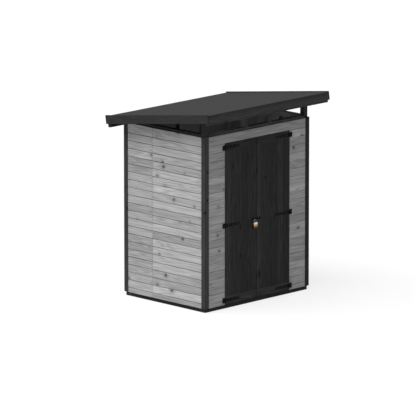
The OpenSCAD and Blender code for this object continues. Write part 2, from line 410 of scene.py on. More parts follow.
def mark_grain(shape: Mesh, seed: int, axes: Matrix | None = None, shift: float = 0.0) -> None:
    """Gives every timber its own place in the wood and its own tone.

    The grain attribute holds metres along, across and through the timber, moved by a random step,
    so that no two boards share a figure. The tone attribute is 0 for a middling board, below 0 for
    a darker one and above 0 for a paler one.

    Args:
        shape: The mesh, whose separate solids are its timbers.
        seed: Seed of the random draws.
        axes: The axes that the timbers lie along, or None for those of the frame.
        shift: How far the whole piece's tone lies above or below the rest.
    """
    draw = random.Random(seed)
    vectors, numbers = shape.verts.layers.float_vector, shape.verts.layers.float
    grain = vectors.get("grain") or vectors.new("grain")
    tone = numbers.get("tone") or numbers.new("tone")
    rows = [Vector(row[:3]) for row in (axes or Matrix.Identity(3)).transposed()]
    for solid in solids_of(shape):
        along, across, through = sorted(rows, key=lambda axis: -round(span_along(solid, axis), 4))
        step = Vector([draw.uniform(0, WOOD_ROOM) for _ in range(3)])
        shade = shift + max(TONE_LIMITS[0], min(TONE_LIMITS[1], draw.gauss(0, TONE_SPREAD)))
        for vert in solid:
            local = Vector((vert.co.dot(along), vert.co.dot(across), vert.co.dot(through)))
            vert[grain] = local + step
            vert[tone] = shade


def retone(piece: Piece, tone_of: Callable[[Vector, float], float]) -> None:
    """Changes the tone of a marked piece's timbers one by one.

    Args:
        piece: The piece, whose timbers carry a tone.
        tone_of: Takes a timber's middle and its tone, and gives its new tone.
    """
    shape = open_mesh(piece)
    tone = shape.verts.layers.float["tone"]
    for solid in solids_of(shape):
        middle = sum((v.co for v in solid), Vector()) / len(solid)
        shade = tone_of(middle, solid[0][tone])
        for vert in solid:
            vert[tone] = shade
    close_mesh(piece, shape)


def fade(piece: Piece, top: float, foot: float) -> None:
    """Changes the tone of a marked piece evenly from its highest corner to its lowest.

    Args:
        piece: The piece, whose timbers carry a tone.
        top: The change at the top.
        foot: The change at the foot.
    """
    shape = open_mesh(piece)
    tone = shape.verts.layers.float["tone"]
    heights = [vert.co.z for vert in shape.verts]
    low, high = min(heights), max(heights)
    for vert in shape.verts:
        vert[tone] += foot + (top - foot) * (vert.co.z - low) / (high - low)
    close_mesh(piece, shape)


# Finishes.


class Finish:
    """What every finish shares: one material, built once and named for what it is."""

    name: str

    def material(self) -> Material:
        """Gives the finish's material, which the first call builds.

        Returns:
            The material.
        """
        if self.name in bpy.data.materials:
            return bpy.data.materials[self.name]
        material = bpy.data.materials.new(self.name)
        material.use_nodes = True
        tree = material.node_tree
        tree.nodes.clear()
        surface = add_node(tree, "ShaderNodeBsdfPrincipled", self.surface(tree))
        add_node(tree, "ShaderNodeOutputMaterial", {"Surface": surface.outputs[0]})
        return material

    def surface(self, tree: Tree) -> dict[str, object]:
        """Builds the finish's nodes.

        Args:
            tree: The material's tree.

        Returns:
            What feeds each input of the surface shader: a socket or a fixed value.
        """
        raise NotImplementedError


@dataclass(frozen=True)
class StainedTimber(Finish):
    """Planed softwood under a thin opaque stain: grain and dark knots show through a dull skin."""

    name: str
    face: str
    dark: str
    light: str
    knot: str
    back: str = "#2e2e2e"
    board_spread: float = 0.09
    knot_share: float = 0.22
    knot_apart: float = 150 * MM
    knot_small: float = 9 * MM
    knot_large: float = 16 * MM
    knot_stretch: float = 1.2
    knot_halo: float = 0.85
    knot_random: float = 0.9
    knot_depth: tuple[float, float] = (0.25, 1.1)
    core_reach: tuple[float, float] = (1.4, 0.5)
    halo_reach: tuple[float, float] = (3.6, 0.9)
    bend: float = 9 * MM
    streak_len: float = 420 * MM
    streak_w: float = 8 * MM
    streak_detail: tuple[float, float] = (3.0, 0.6)
    figure_len: float = 900 * MM
    figure_w: float = 45 * MM
    rings: float = 7.0
    low_band: tuple[float, float] = (0.35, 0.95)
    high_band: tuple[float, float] = (0.95, 1.65)
    relief: float = 0.35
    relief_depth: float = 0.6 * MM
    roughness: float = 0.72
    gloss: float = 0.10

    def surface(self, tree: Tree) -> dict[str, object]:
        """Lays the stain over the grain, the knots over the stain, and darkens the boards' backs.

        Args:
            tree: The material's tree.

        Returns:
            What feeds each input of the surface shader.
        """
        grain = add_node(tree, "ShaderNodeAttribute", attribute_name="grain").outputs["Vector"]
        tone = add_node(tree, "ShaderNodeAttribute", attribute_name="tone").outputs["Fac"]
        core, halo = self.knots(tree, grain)
        step = {0: (0, self.bend, 0), "Scale": halo}
        bend = add_node(tree, "ShaderNodeVectorMath", step, operation="SCALE")
        both = {0: grain, 1: bend.outputs[0]}
        bent = add_node(tree, "ShaderNodeVectorMath", both, operation="ADD")
        streak = self.streaks(tree, bent.outputs[0])
        figure = self.figure(tree, bent.outputs[0])
        mixed = add_node(tree, "ShaderNodeMath", {0: streak, 1: figure}, operation="ADD")
        colour = linear(self.dark)
        for (start, end), code in ((self.low_band, self.face), (self.high_band, self.light)):
            band = {"Value": mixed.outputs[0], "From Min": start, "From Max": end}
            share = add_node(tree, "ShaderNodeMapRange", band)
            layer = {0: share.outputs[0], 6: colour, 7: linear(code)}
            colour = add_node(tree, "ShaderNodeMix", layer, data_type="RGBA").outputs[2]
        darkest, palest = 1 - self.board_spread, 1 + self.board_spread
        spread = {"Value": tone, "From Min": -1, "To Min": darkest, "To Max": palest}
        value = add_node(tree, "ShaderNodeMapRange", spread, clamp=False)
        board = {"Color": colour, "Value": value.outputs[0]}
        colour = add_node(tree, "ShaderNodeHueSaturation", board).outputs[0]
        shade = add_node(tree, "ShaderNodeMath", {0: halo, 1: self.knot_halo}, operation="MULTIPLY")
        behind = add_node(tree, "ShaderNodeAttribute", attribute_name="behind").outputs["Fac"]
        for share, code in ((shade.outputs[0], self.dark), (core, self.knot), (behind, self.back)):
            layer = {0: share, 6: colour, 7: linear(code)}
            colour = add_node(tree, "ShaderNodeMix", layer, data_type="RGBA").outputs[2]
        bump = add_node(
            tree,
            "ShaderNodeBump",
            {"Height": mixed.outputs[0], "Strength": self.relief, "Distance": self.relief_depth},
        )
        return {
            "Base Color": colour,
            "Normal": bump.outputs[0],
            "Roughness": self.roughness,
            "Specular IOR Level": self.gloss,
        }

    def knots(self, tree: Tree, grain: Socket) -> tuple[Socket, Socket]:
        """Scatters knots over the board, each with a dark core and a soft surround.

        Args:
            tree: The material's tree.
            grain: The place in the wood.

        Returns:
            The sockets for the core and for the surround, each from 0 to 1.
        """
        oval = add_node(
            tree, "ShaderNodeMapping", {"Vector": grain, "Scale": (1 / self.knot_stretch, 1.0, 1.0)}
        )
        cells = add_node(
            tree,
            "ShaderNodeTexVoronoi",
            {
                "Vector": oval.outputs[0],
                "Scale": 1 / self.knot_apart,
                "Randomness": self.knot_random,
            },
            voronoi_dimensions="2D",
        )
        draw = add_node(tree, "ShaderNodeSeparateColor", {"Color": cells.outputs["Color"]})
        radius = add_node(
            tree,
            "ShaderNodeMapRange",
            {
                "Value": draw.outputs[1],
                "To Min": self.knot_small / self.knot_apart,
                "To Max": self.knot_large / self.knot_apart,
            },
        )
        reach = add_node(
            tree,
            "ShaderNodeMath",
            {0: cells.outputs["Distance"], 1: radius.outputs[0]},
            operation="DIVIDE",
        )
        there = add_node(
            tree, "ShaderNodeMath", {0: draw.outputs[0], 1: self.knot_share}, operation="LESS_THAN"
        )
        faint, deep = self.knot_depth
        depth = add_node(
            tree, "ShaderNodeMapRange", {"Value": draw.outputs[2], "To Min": faint, "To Max": deep}
        )
        strength = add_node(
            tree, "ShaderNodeMath", {0: there.outputs[0], 1: depth.outputs[0]}, operation="MULTIPLY"
        )
        found = []
        for outer, inner in (self.core_reach, self.halo_reach):
            mask = add_node(
                tree,
                "ShaderNodeMapRange",
                {
                    "Value": reach.outputs[0],
                    "From Min": outer,
                    "From Max": inner,
                    "To Max": strength.outputs[0],
                },
                interpolation_type="SMOOTHSTEP",
            )
            found.append(mask.outputs[0])
        return found[0], found[1]

    def streaks(self, tree: Tree, place: Socket) -> Socket:
        """Makes fine streaks along the board, as coarse as a view of the whole shed can show.

        Args:
            tree: The material's tree.
            place: The place in the wood.

        Returns:
            The socket of a value round 0.5.
        """
        size = (1 / self.streak_len, 1 / self.streak_w, 1 / self.streak_w)
        stretched = add_node(tree, "ShaderNodeMapping", {"Vector": place, "Scale": size})
        detail, rough = self.streak_detail
        noise = {"Vector": stretched.outputs[0], "Scale": 1.0, "Detail": detail, "Roughness": rough}
        return add_node(tree, "ShaderNodeTexNoise", noise).outputs[0]

    def figure(self, tree: Tree, place: Socket) -> Socket:
        """Makes the long arches that flat-sawn growth rings leave on a face.

        Args:
            tree: The material's tree.
            place: The place in the wood.

        Returns:
            The socket of a value from 0 to 1.
        """
        size = (1 / self.figure_len, 1 / self.figure_w, 1 / self.figure_w)
        stretched = add_node(tree, "ShaderNodeMapping", {"Vector": place, "Scale": size})
        noise = {"Vector": stretched.outputs[0], "Scale": 1.0, "Detail": 1.0}
        value = add_node(tree, "ShaderNodeTexNoise", noise).outputs[0]
        steps = (("MULTIPLY", self.rings), ("PINGPONG", 0.5), ("MULTIPLY", 2.0))
        for operation, size in steps:
            given = {0: value, 1: size}
            value = add_node(tree, "ShaderNodeMath", given, operation=operation).outputs[0]
        return value


@dataclass(frozen=True)
class MineralFelt(Finish):
    """Bitumen felt with a skin of crushed slate: a dull grey speckle with no shine."""

    name: str = "mineral_roofing_felt"
    face: str = "#363636"
    dark: str = "#2f2f2f"
    light: str = "#3e3e3e"
    grit: float = 4 * MM
    cloud: float = 180 * MM
    relief: float = 0.3
    relief_depth: float = 0.5 * MM
    roughness: float = 0.95
    gloss: float = 0.05

    def surface(self, tree: Tree) -> dict[str, object]:
        """Speckles the felt. Real grit is 1 mm, too fine to show, so it's drawn 4 mm coarse.

        Args:
            tree: The material's tree.

        Returns:
            What feeds each input of the surface shader.
        """
        place = add_node(tree, "ShaderNodeTexCoord").outputs["Object"]
        grit = add_node(
            tree, "ShaderNodeTexVoronoi", {"Vector": place, "Scale": 1 / self.grit}, feature="F1"
        )
        chip = add_node(tree, "ShaderNodeSeparateColor", {"Color": grit.outputs["Color"]})
        cloud = add_node(
            tree, "ShaderNodeTexNoise", {"Vector": place, "Scale": 1 / self.cloud, "Detail": 3.0}
        )
        colour = linear(self.dark)
        for share, code in ((chip, self.light), (cloud, self.face)):
            layer = {0: share.outputs[0], 6: colour, 7: linear(code)}
            colour = add_node(tree, "ShaderNodeMix", layer, data_type="RGBA").outputs[2]
        bump = add_node(
            tree,
            "ShaderNodeBump",
            {
                "Height": grit.outputs["Distance"],
                "Strength": self.relief,
                "Distance": self.relief_depth,
            },
        )
        return {
            "Base Color": colour,
            "Normal": bump.outputs[0],
            "Roughness": self.roughness,
            "Specular IOR Level": self.gloss,
        }


@dataclass(frozen=True)
class Metal(Finish):
    """A metal part or a coated one: even, with fine clouds in its colour and its polish."""

    name: str
    face: str
    dark: str
    metallic: float
    roughness: float
    rough_spread: float = 0.1
    grain: float = 3 * MM
    relief: float = 0.4
    relief_depth: float = 0.1 * MM
    gloss: float = 0.5

    def surface(self, tree: Tree) -> dict[str, object]:
        """Clouds the metal's colour, its polish and its relief.

        Args:
            tree: The material's tree.

        Returns:
            What feeds each input of the surface shader.
        """
        place = add_node(tree, "ShaderNodeTexCoord").outputs["Object"]
        noise = add_node(
            tree, "ShaderNodeTexNoise", {"Vector": place, "Scale": 1 / self.grain, "Detail": 3.0}
        )
        colour = add_node(
            tree,
            "ShaderNodeMix",
            {0: noise.outputs[0], 6: linear(self.dark), 7: linear(self.face)},
            data_type="RGBA",
        )
        polish = add_node(
            tree,
            "ShaderNodeMapRange",
            {
                "Value": noise.outputs[0],
                "To Min": self.roughness - self.rough_spread,
                "To Max": self.roughness + self.rough_spread,
            },
        )
        bump = add_node(
            tree,
            "ShaderNodeBump",
            {"Height": noise.outputs[0], "Strength": self.relief, "Distance": self.relief_depth},
        )
        return {
            "Base Color": colour.outputs[2],
            "Roughness": polish.outputs[0],
            "Normal": bump.outputs[0],
            "Metallic": self.metallic,
            "Specular IOR Level": self.gloss,
        }


@dataclass(frozen=True)
class BrassWithPaintedLight(Finish):
    """Lock brass with painted light: painted shade and a dark painted reflection towards the foot,
    a painted highlight near the top, and darker again at the very top.
    """

    name: str = "tarnished_padlock_brass"
    foot: float = 861 * MM
    top: float = 931 * MM
    cloud: float = 9 * MM
    drift: float = 0.08
    roughness: float = 0.3
    # From the foot to the top: painted shade and a dark painted reflection, then a painted
    # highlight near the top, then darker at the very top.
    steps: tuple[tuple[float, str], ...] = (
        (0.0, "#2d241a"),
        (0.22, "#584330"),
        (0.40, "#86694a"),
        (0.60, "#b3977a"),
        (0.80, "#d6c3a8"),
        (0.94, "#dcd6cc"),
        (1.0, "#6f675c"),
    )

    def surface(self, tree: Tree) -> dict[str, object]:
        """Colours the brass by its height on the lock, with a little drift: painted shade low down,
        a painted highlight high up.

        Args:
            tree: The material's tree.

        Returns:
            What feeds each input of the surface shader.
        """
        place = add_node(tree, "ShaderNodeTexCoord").outputs["Object"]
        parts = add_node(tree, "ShaderNodeSeparateXYZ", {"Vector": place})
        cloud = add_node(
            tree, "ShaderNodeTexNoise", {"Vector": place, "Scale": 1 / self.cloud, "Detail": 2.0}
        )
        height = add_node(
            tree,
            "ShaderNodeMapRange",
            {"Value": parts.outputs[2], "From Min": self.foot, "From Max": self.top},
        )
        drift = add_node(
            tree,
            "ShaderNodeMapRange",
            {"Value": cloud.outputs[0], "To Min": -self.drift, "To Max": self.drift},
        )
        level = add_node(
            tree, "ShaderNodeMath", {0: height.outputs[0], 1: drift.outputs[0]}, operation="ADD"
        )
        ramp = add_node(tree, "ShaderNodeValToRGB", {"Fac": level.outputs[0]})
        scale = ramp.color_ramp.elements
        while len(scale) < len(self.steps):
            scale.new(0.5)
        for stop, (position, code) in zip(scale, self.steps):
            stop.position = position
            stop.color = linear(code)
        return {"Base Color": ramp.outputs[0], "Metallic": 1.0, "Roughness": self.roughness}


# Opaque grey stain on planed spruce: a pale board with darker knots, no two boards quite alike.
GREY_CLADDING = StainedTimber(
    "grey_stained_spruce",
    "#a0a0a0",
    "#8d8d8d",
    "#b2b2b2",
    "#505050",
    board_spread=0.14,
    knot_small=10 * MM,
    knot_large=19 * MM,
)
# The same stain where feet wear it: a little duller, with little spread from board to board.
INNER_FLOOR = StainedTimber("grey_stained_floor_spruce", "#8f9091", "#848586", "#999a9b", "#454546")
# Black stain on planed pine trim: nearly even, with the grain just showing.
BLACK_TRIM = StainedTimber(
    "black_stained_trim_pine",
    "#393939",
    "#323232",
    "#404040",
    "#0a0a0a",
    board_spread=0.10,
    knot_share=0.42,
)
# Dark stain on sawn framing: flat, and a shade darker than the trim.
DARK_FRAME = StainedTimber(
    "dark_stained_framing_pine", "#2e2e2e", "#272727", "#353535", "#121212", board_spread=0.10
)
# Black stain on knotty door boards: some boards take less of it and stand out paler.
BLACK_DOOR = StainedTimber(
    "black_stained_door_pine",
    "#252525",
    "#1c1c1c",
    "#2f2f2f",
    "#040404",
    board_spread=0.20,
    knot_share=0.36,
    knot_small=8 * MM,
    knot_large=17 * MM,
    knot_stretch=2.7,
    knot_halo=0.35,
)
# Black stain on the underside of the roof: dull and even.
ROOF_BOARDS = StainedTimber(
    "black_stained_roof_pine", "#2b2b2b", "#222222", "#343434", "#131313", board_spread=0.08
)
FELT = MineralFelt()
# Black powder coat on the hinges and the hasp: satin, with hardly a glint.
IRON = Metal("black_powder_coated_steel", "#090909", "#060606", 0.0, 0.5, gloss=0.06)
# Blackened screws and bolts: a shade paler than the coat round them.
BLACK_SCREW = Metal("blackened_steel_screw", "#131313", "#0a0a0a", 0.0, 0.45, gloss=0.25)
# Nails stained over with the boards: small grey dots.
PAINTED_NAIL = Metal("stained_over_steel_nail", "#858585", "#707070", 0.0, 0.6, gloss=0.3)
# Brass with painted shade at the foot and a painted highlight near the top.
BRASS = BrassWithPaintedLight()
# Hardened and chromed steel on the shackle and the plug: smooth, with a dark reflection.
STEEL = Metal("hardened_chromed_steel", "#84878a", "#707377", 1.0, 0.16, rough_spread=0.05)


# Geometry Nodes for what repeats.


class RepeatTree:
    """Node trees that repeat a board in a row or set a head on every point."""

    @staticmethod
    def start(name: str, inputs: dict[str, str]) -> tuple[Tree, Node]:
        """Starts a tree with its named inputs.

        Args:
            name: The tree's name.
            inputs: The socket type of each input, by name.

        Returns:
            The tree and its input node.
        """
        tree = bpy.data.node_groups.new(name, "GeometryNodeTree")
        for label, kind in inputs.items():
            tree.interface.new_socket(name=label, in_out="INPUT", socket_type=kind)
        tree.interface.new_socket(
            name="Geometry", in_out="OUTPUT", socket_type="NodeSocketGeometry"
        )
        return tree, add_node(tree, "NodeGroupInput")

    @staticmethod
    def end(tree: Tree, copies: Socket, finish: Socket) -> None:
        """Ends a tree with real geometry in one finish.

        Args:
            tree: The tree to end.
            copies: The socket that gives the instances.
            finish: The socket that gives the material.
        """
        real = add_node(tree, "GeometryNodeRealizeInstances", {0: copies})
        bare = {0: real.outputs[0], "Material": finish}
        dressed = add_node(tree, "GeometryNodeSetMaterial", bare)
        add_node(tree, "NodeGroupOutput", {0: dressed.outputs[0]})

    @classmethod
    def row(cls) -> Tree:
        """A row of boards at a fixed step, each set in or out by a hair.

        Returns:
            The node tree.
        """
        if "board_row" in bpy.data.node_groups:
            return bpy.data.node_groups["board_row"]
        inputs = {
            "Geometry": "NodeSocketGeometry",
            "Count": "NodeSocketInt",
            "Step": "NodeSocketVector",
            "Play": "NodeSocketVector",
            "Seed": "NodeSocketInt",
            "Finish": "NodeSocketMaterial",
        }
        tree, given = cls.start("board_row", inputs)
        line = add_node(
            tree,
            "GeometryNodeMeshLine",
            {"Count": given.outputs["Count"], "Offset": given.outputs["Step"]},
            mode="OFFSET",
        )
        play = add_node(
            tree,
            "FunctionNodeRandomValue",
            {0: (0, 0, 0), 1: given.outputs["Play"], "Seed": given.outputs["Seed"]},
            data_type="FLOAT_VECTOR",
        )
        loose = add_node(
            tree,
            "GeometryNodeSetPosition",
            {"Geometry": line.outputs[0], "Offset": play.outputs[0]},
        )
        copies = add_node(
            tree,
            "GeometryNodeInstanceOnPoints",
            {"Points": loose.outputs[0], "Instance": given.outputs[0]},
        )
        cls.end(tree, copies.outputs[0], given.outputs["Finish"])
        return tree

    @classmethod
    def heads(cls) -> Tree:
        """A head on every point, turned to face outwards and spun by chance.

        Returns:
            The node tree.
        """
        if "fastener_heads" in bpy.data.node_groups:
            return bpy.data.node_groups["fastener_heads"]
        inputs = {
            "Geometry": "NodeSocketGeometry",
            "Head": "NodeSocketObject",
            "Facing": "NodeSocketVector",
            "Seed": "NodeSocketInt",
            "Finish": "NodeSocketMaterial",
        }
        tree, given = cls.start("fastener_heads", inputs)
        head = add_node(tree, "GeometryNodeObjectInfo", {"Object": given.outputs["Head"]})
        spin = add_node(
            tree,
            "FunctionNodeRandomValue",
            {2: 0.0, 3: math.tau, "Seed": given.outputs["Seed"]},
            data_type="FLOAT",
        )
        outwards = add_node(tree, "FunctionNodeEulerToRotation", {0: given.outputs["Facing"]})
        about = add_node(
            tree,
            "FunctionNodeAxisAngleToRotation",
            {"Axis": tuple(UP), "Angle": spin.outputs[1]},
        )
        turn = add_node(
            tree,
            "FunctionNodeRotateRotation",
            {0: outwards.outputs[0], 1: about.outputs[0]},
            rotation_space="LOCAL",
        )
        copies = add_node(
            tree,
            "GeometryNodeInstanceOnPoints",
            {
                "Points": given.outputs["Geometry"],
                "Instance": head.outputs["Geometry"],
                "Rotation": turn.outputs[0],
            },
        )
        cls.end(tree, copies.outputs[0], given.outputs["Finish"])
        return tree

    @staticmethod
    def run(piece: Piece, tree: Tree, values: dict[str, object]) -> None:
        """Runs a tree on a piece and leaves the result as its plain mesh.

        Args:
            piece: The piece whose mesh the tree works on.
            tree: The node tree.
            values: The value of each input, by name.
        """
        modifier = piece.modifiers.new(tree.name, "NODES")
        modifier.node_group = tree
        for item in tree.interface.items_tree:
            if item.in_out == "INPUT" and item.name in values:
                modifier[item.identifier] = values[item.name]
        bake_modifiers(piece)


@dataclass(frozen=True)
class Head:
    """A fastener's head, turned from a short outline."""

    name: str
    finish: Finish
    outline: tuple[tuple[float, float], ...]
    sides: int = 12

    def object(self) -> Piece:
        """Builds the head about the Z axis, with its foot on the surface.

        Returns:
            The head's object, for the tree to copy.
        """
        if self.name in bpy.data.objects:
            return bpy.data.objects[self.name]
        shape = bmesh.new()
        rings = []
        turns = [math.tau * i / self.sides for i in range(self.sides)]
        for radius, height in self.outline:
            ring = [(radius * math.cos(turn), radius * math.sin(turn), height) for turn in turns]
            rings.append([shape.verts.new(corner) for corner in ring])
        for lower, upper in zip(rings, rings[1:]):
            for i in range(self.sides):
                j = (i + 1) % self.sides
                shape.faces.new((lower[i], lower[j], upper[j], upper[i]))
        shape.faces.new(rings[0][::-1])
        shape.faces.new(rings[-1])
        return piece_from(self.name, shape, self.finish.material())

    def place(self, name: str, points: list[Vector], out: Vector, seed: int) -> Piece:
        """Sets a head on each of the points.

        Args:
            name: The piece's name.
            points: Where the heads' feet are.
            out: The direction that the heads look.
            seed: Seed of their random spin.

        Returns:
            The piece that holds all the heads.
        """
        mesh = bpy.data.meshes.new(name)
        mesh.from_pydata([tuple(p) for p in points], [], [])
        piece = bpy.data.objects.new(name, mesh)
        bpy.context.scene.collection.objects.link(piece)
        values = {
            "Head": self.object(),
            "Facing": tuple(facing(out)),
            "Seed": seed,
            "Finish": self.finish.material(),
        }
        RepeatTree.run(piece, RepeatTree.heads(), values)
        return piece


SCREW_HEAD = Head(
    "screw_head",
    BLACK_SCREW,
    (
        (4.2 * MM, -0.4 * MM),
        (4.2 * MM, 0.6 * MM),
        (3.4 * MM, 1.3 * MM),
        (1.7 * MM, 1.4 * MM),
        (1.4 * MM, 0.4 * MM),
    ),
)
NAIL_HEAD = Head(
    "nail_head",
    PAINTED_NAIL,
    ((2.8 * MM, -0.3 * MM), (2.8 * MM, 0.2 * MM), (1.9 * MM, 0.5 * MM)),
    sides=10,
)
BOLT_HEAD = Head(
    "bolt_head",
    BLACK_SCREW,
    (
        (7.5 * MM, -0.3 * MM),
        (7.5 * MM, 0.6 * MM),
        (6.6 * MM, 2.0 * MM),
        (4.6 * MM, 3.2 * MM),
        (2.0 * MM, 3.8 * MM),
    ),
    sides=16,
)


# Boards.


@dataclass(frozen=True)
class MatchedBoard:
    """The section of a tongued and grooved board with a shadow line at its joint."""

    pitch: float
    thick: float
    upper_bevel: float
    lower_bevel: float
    slot: float
    tongue: float = 5 * MM
    tongue_from: float = 0.15
    tongue_to: float = 0.38
    play: float = 0.4 * MM
    set_in: float = 0.25 * MM

    def outline(self) -> list[tuple[float, float]]:
        """Draws the section, with its lower edge at 0 and its face at the full thickness.

        The tongue's rear and front lie at a share of the thickness.

        Returns:
            Points across and out.
        """
        low = self.slot / 2
        high = self.pitch - self.slot / 2
        rear = self.tongue_from * self.thick
        front = self.tongue_to * self.thick
        face = self.thick
        groove = low + self.tongue
        return [
            (low, 0.0),
            (high, 0.0),
            (high, rear),
            (self.pitch + groove - self.play, rear),
            (self.pitch + groove - self.play, front),
            (high, front),
            (high, face - self.upper_bevel),
            (high - self.upper_bevel, face),
            (low + self.lower_bevel, face),
            (low, face - self.lower_bevel),
            (low, front + self.play),
            (groove, front + self.play),
            (groove, rear - self.play),
            (low, rear - self.play),
        ]

    def row(
        self,
        name: str,
        count: int,
        length: float,
        place: Matrix,
        timber: StainedTimber,
        seed: int,
    ) -> Piece:
        """Lays a row of boards side by side.

        Args:
            name: The row's name.
            count: Number of boards.
            length: Their length.
            place: Takes along, across and out to the frame, from the row's first corner.
            timber: Their finish.
            seed: Seed of the hair's breadth by which they differ.

        Returns:
            The row as one object.
        """
        shape = bmesh.new()
        add_prism(shape, self.outline(), length, place)
        finish = timber.material()
        piece = piece_from(name, shape, finish)
        turn = place.to_3x3()
        values = {
            "Count": count,
            "Step": tuple(turn @ Vector((0, self.pitch, 0))),
            "Play": tuple(turn @ Vector((0, 0, -self.set_in))),
            "Seed": seed,
            "Finish": finish,
        }
        RepeatTree.run(piece, RepeatTree.row(), values)
        return piece


def mark_backs(shape: Mesh, face: Vector, out: Vector, skin: float) -> None:
    """Marks what lies behind a panel's face, which the finish colours darker.

    Args:
        shape: The panel's boards.
        face: A point on the face.
        out: The face's outward direction.
        skin: How deep the face's colour goes.
    """
    behind = shape.verts.layers.float.get("behind") or shape.verts.layers.float.new("behind")
    for vert in shape.verts:
        vert[behind] = 1.0 if (face - vert.co).dot(out) > skin else 0.0


def trim(
    piece: Piece,
    planes: list[tuple[Vector, Vector]],
    seed: int,
    axes: Matrix | None = None,
) -> None:
    """Cuts a row of boards to its panel and marks its grain.

    Args:
        piece: The row of boards.
        planes: Each plane's point and outward normal.
        seed: Seed of the grain.
        axes: The axes that the boards lie along.
    """
    shape = open_mesh(piece)
    for point, outward in planes:
        cut(shape, point, outward)
    mark_grain(shape, seed, axes)
    close_mesh(piece, shape)


class Wall(Enum):
    """The walls without a doorway: their CAD node, the axis along them and their outward side."""

    LEFT = ("left_wall_cladding", Y, Vector((-1, 0, 0)))
    RIGHT = ("right_wall_cladding", Y, Vector((1, 0, 0)))
    BACK = ("back_wall_cladding", X, Vector((0, 1, 0)))


@dataclass(frozen=True)
class Face:
    """A wall's boarded face: its axis, its outward direction, its place along that, its heights."""

    axis: int
    out: Vector
    place: float
    heights: tuple[float, float]

    def point(self, along: float, height: float) -> Vector:
        """Finds a point on the face.

        Args:
            along: Its place along the wall.
            height: Its height.

        Returns:
            The point.
        """
        point = Vector([abs(c) * self.place for c in self.out])
        point[self.axis] = along
        point.z = height
        return point


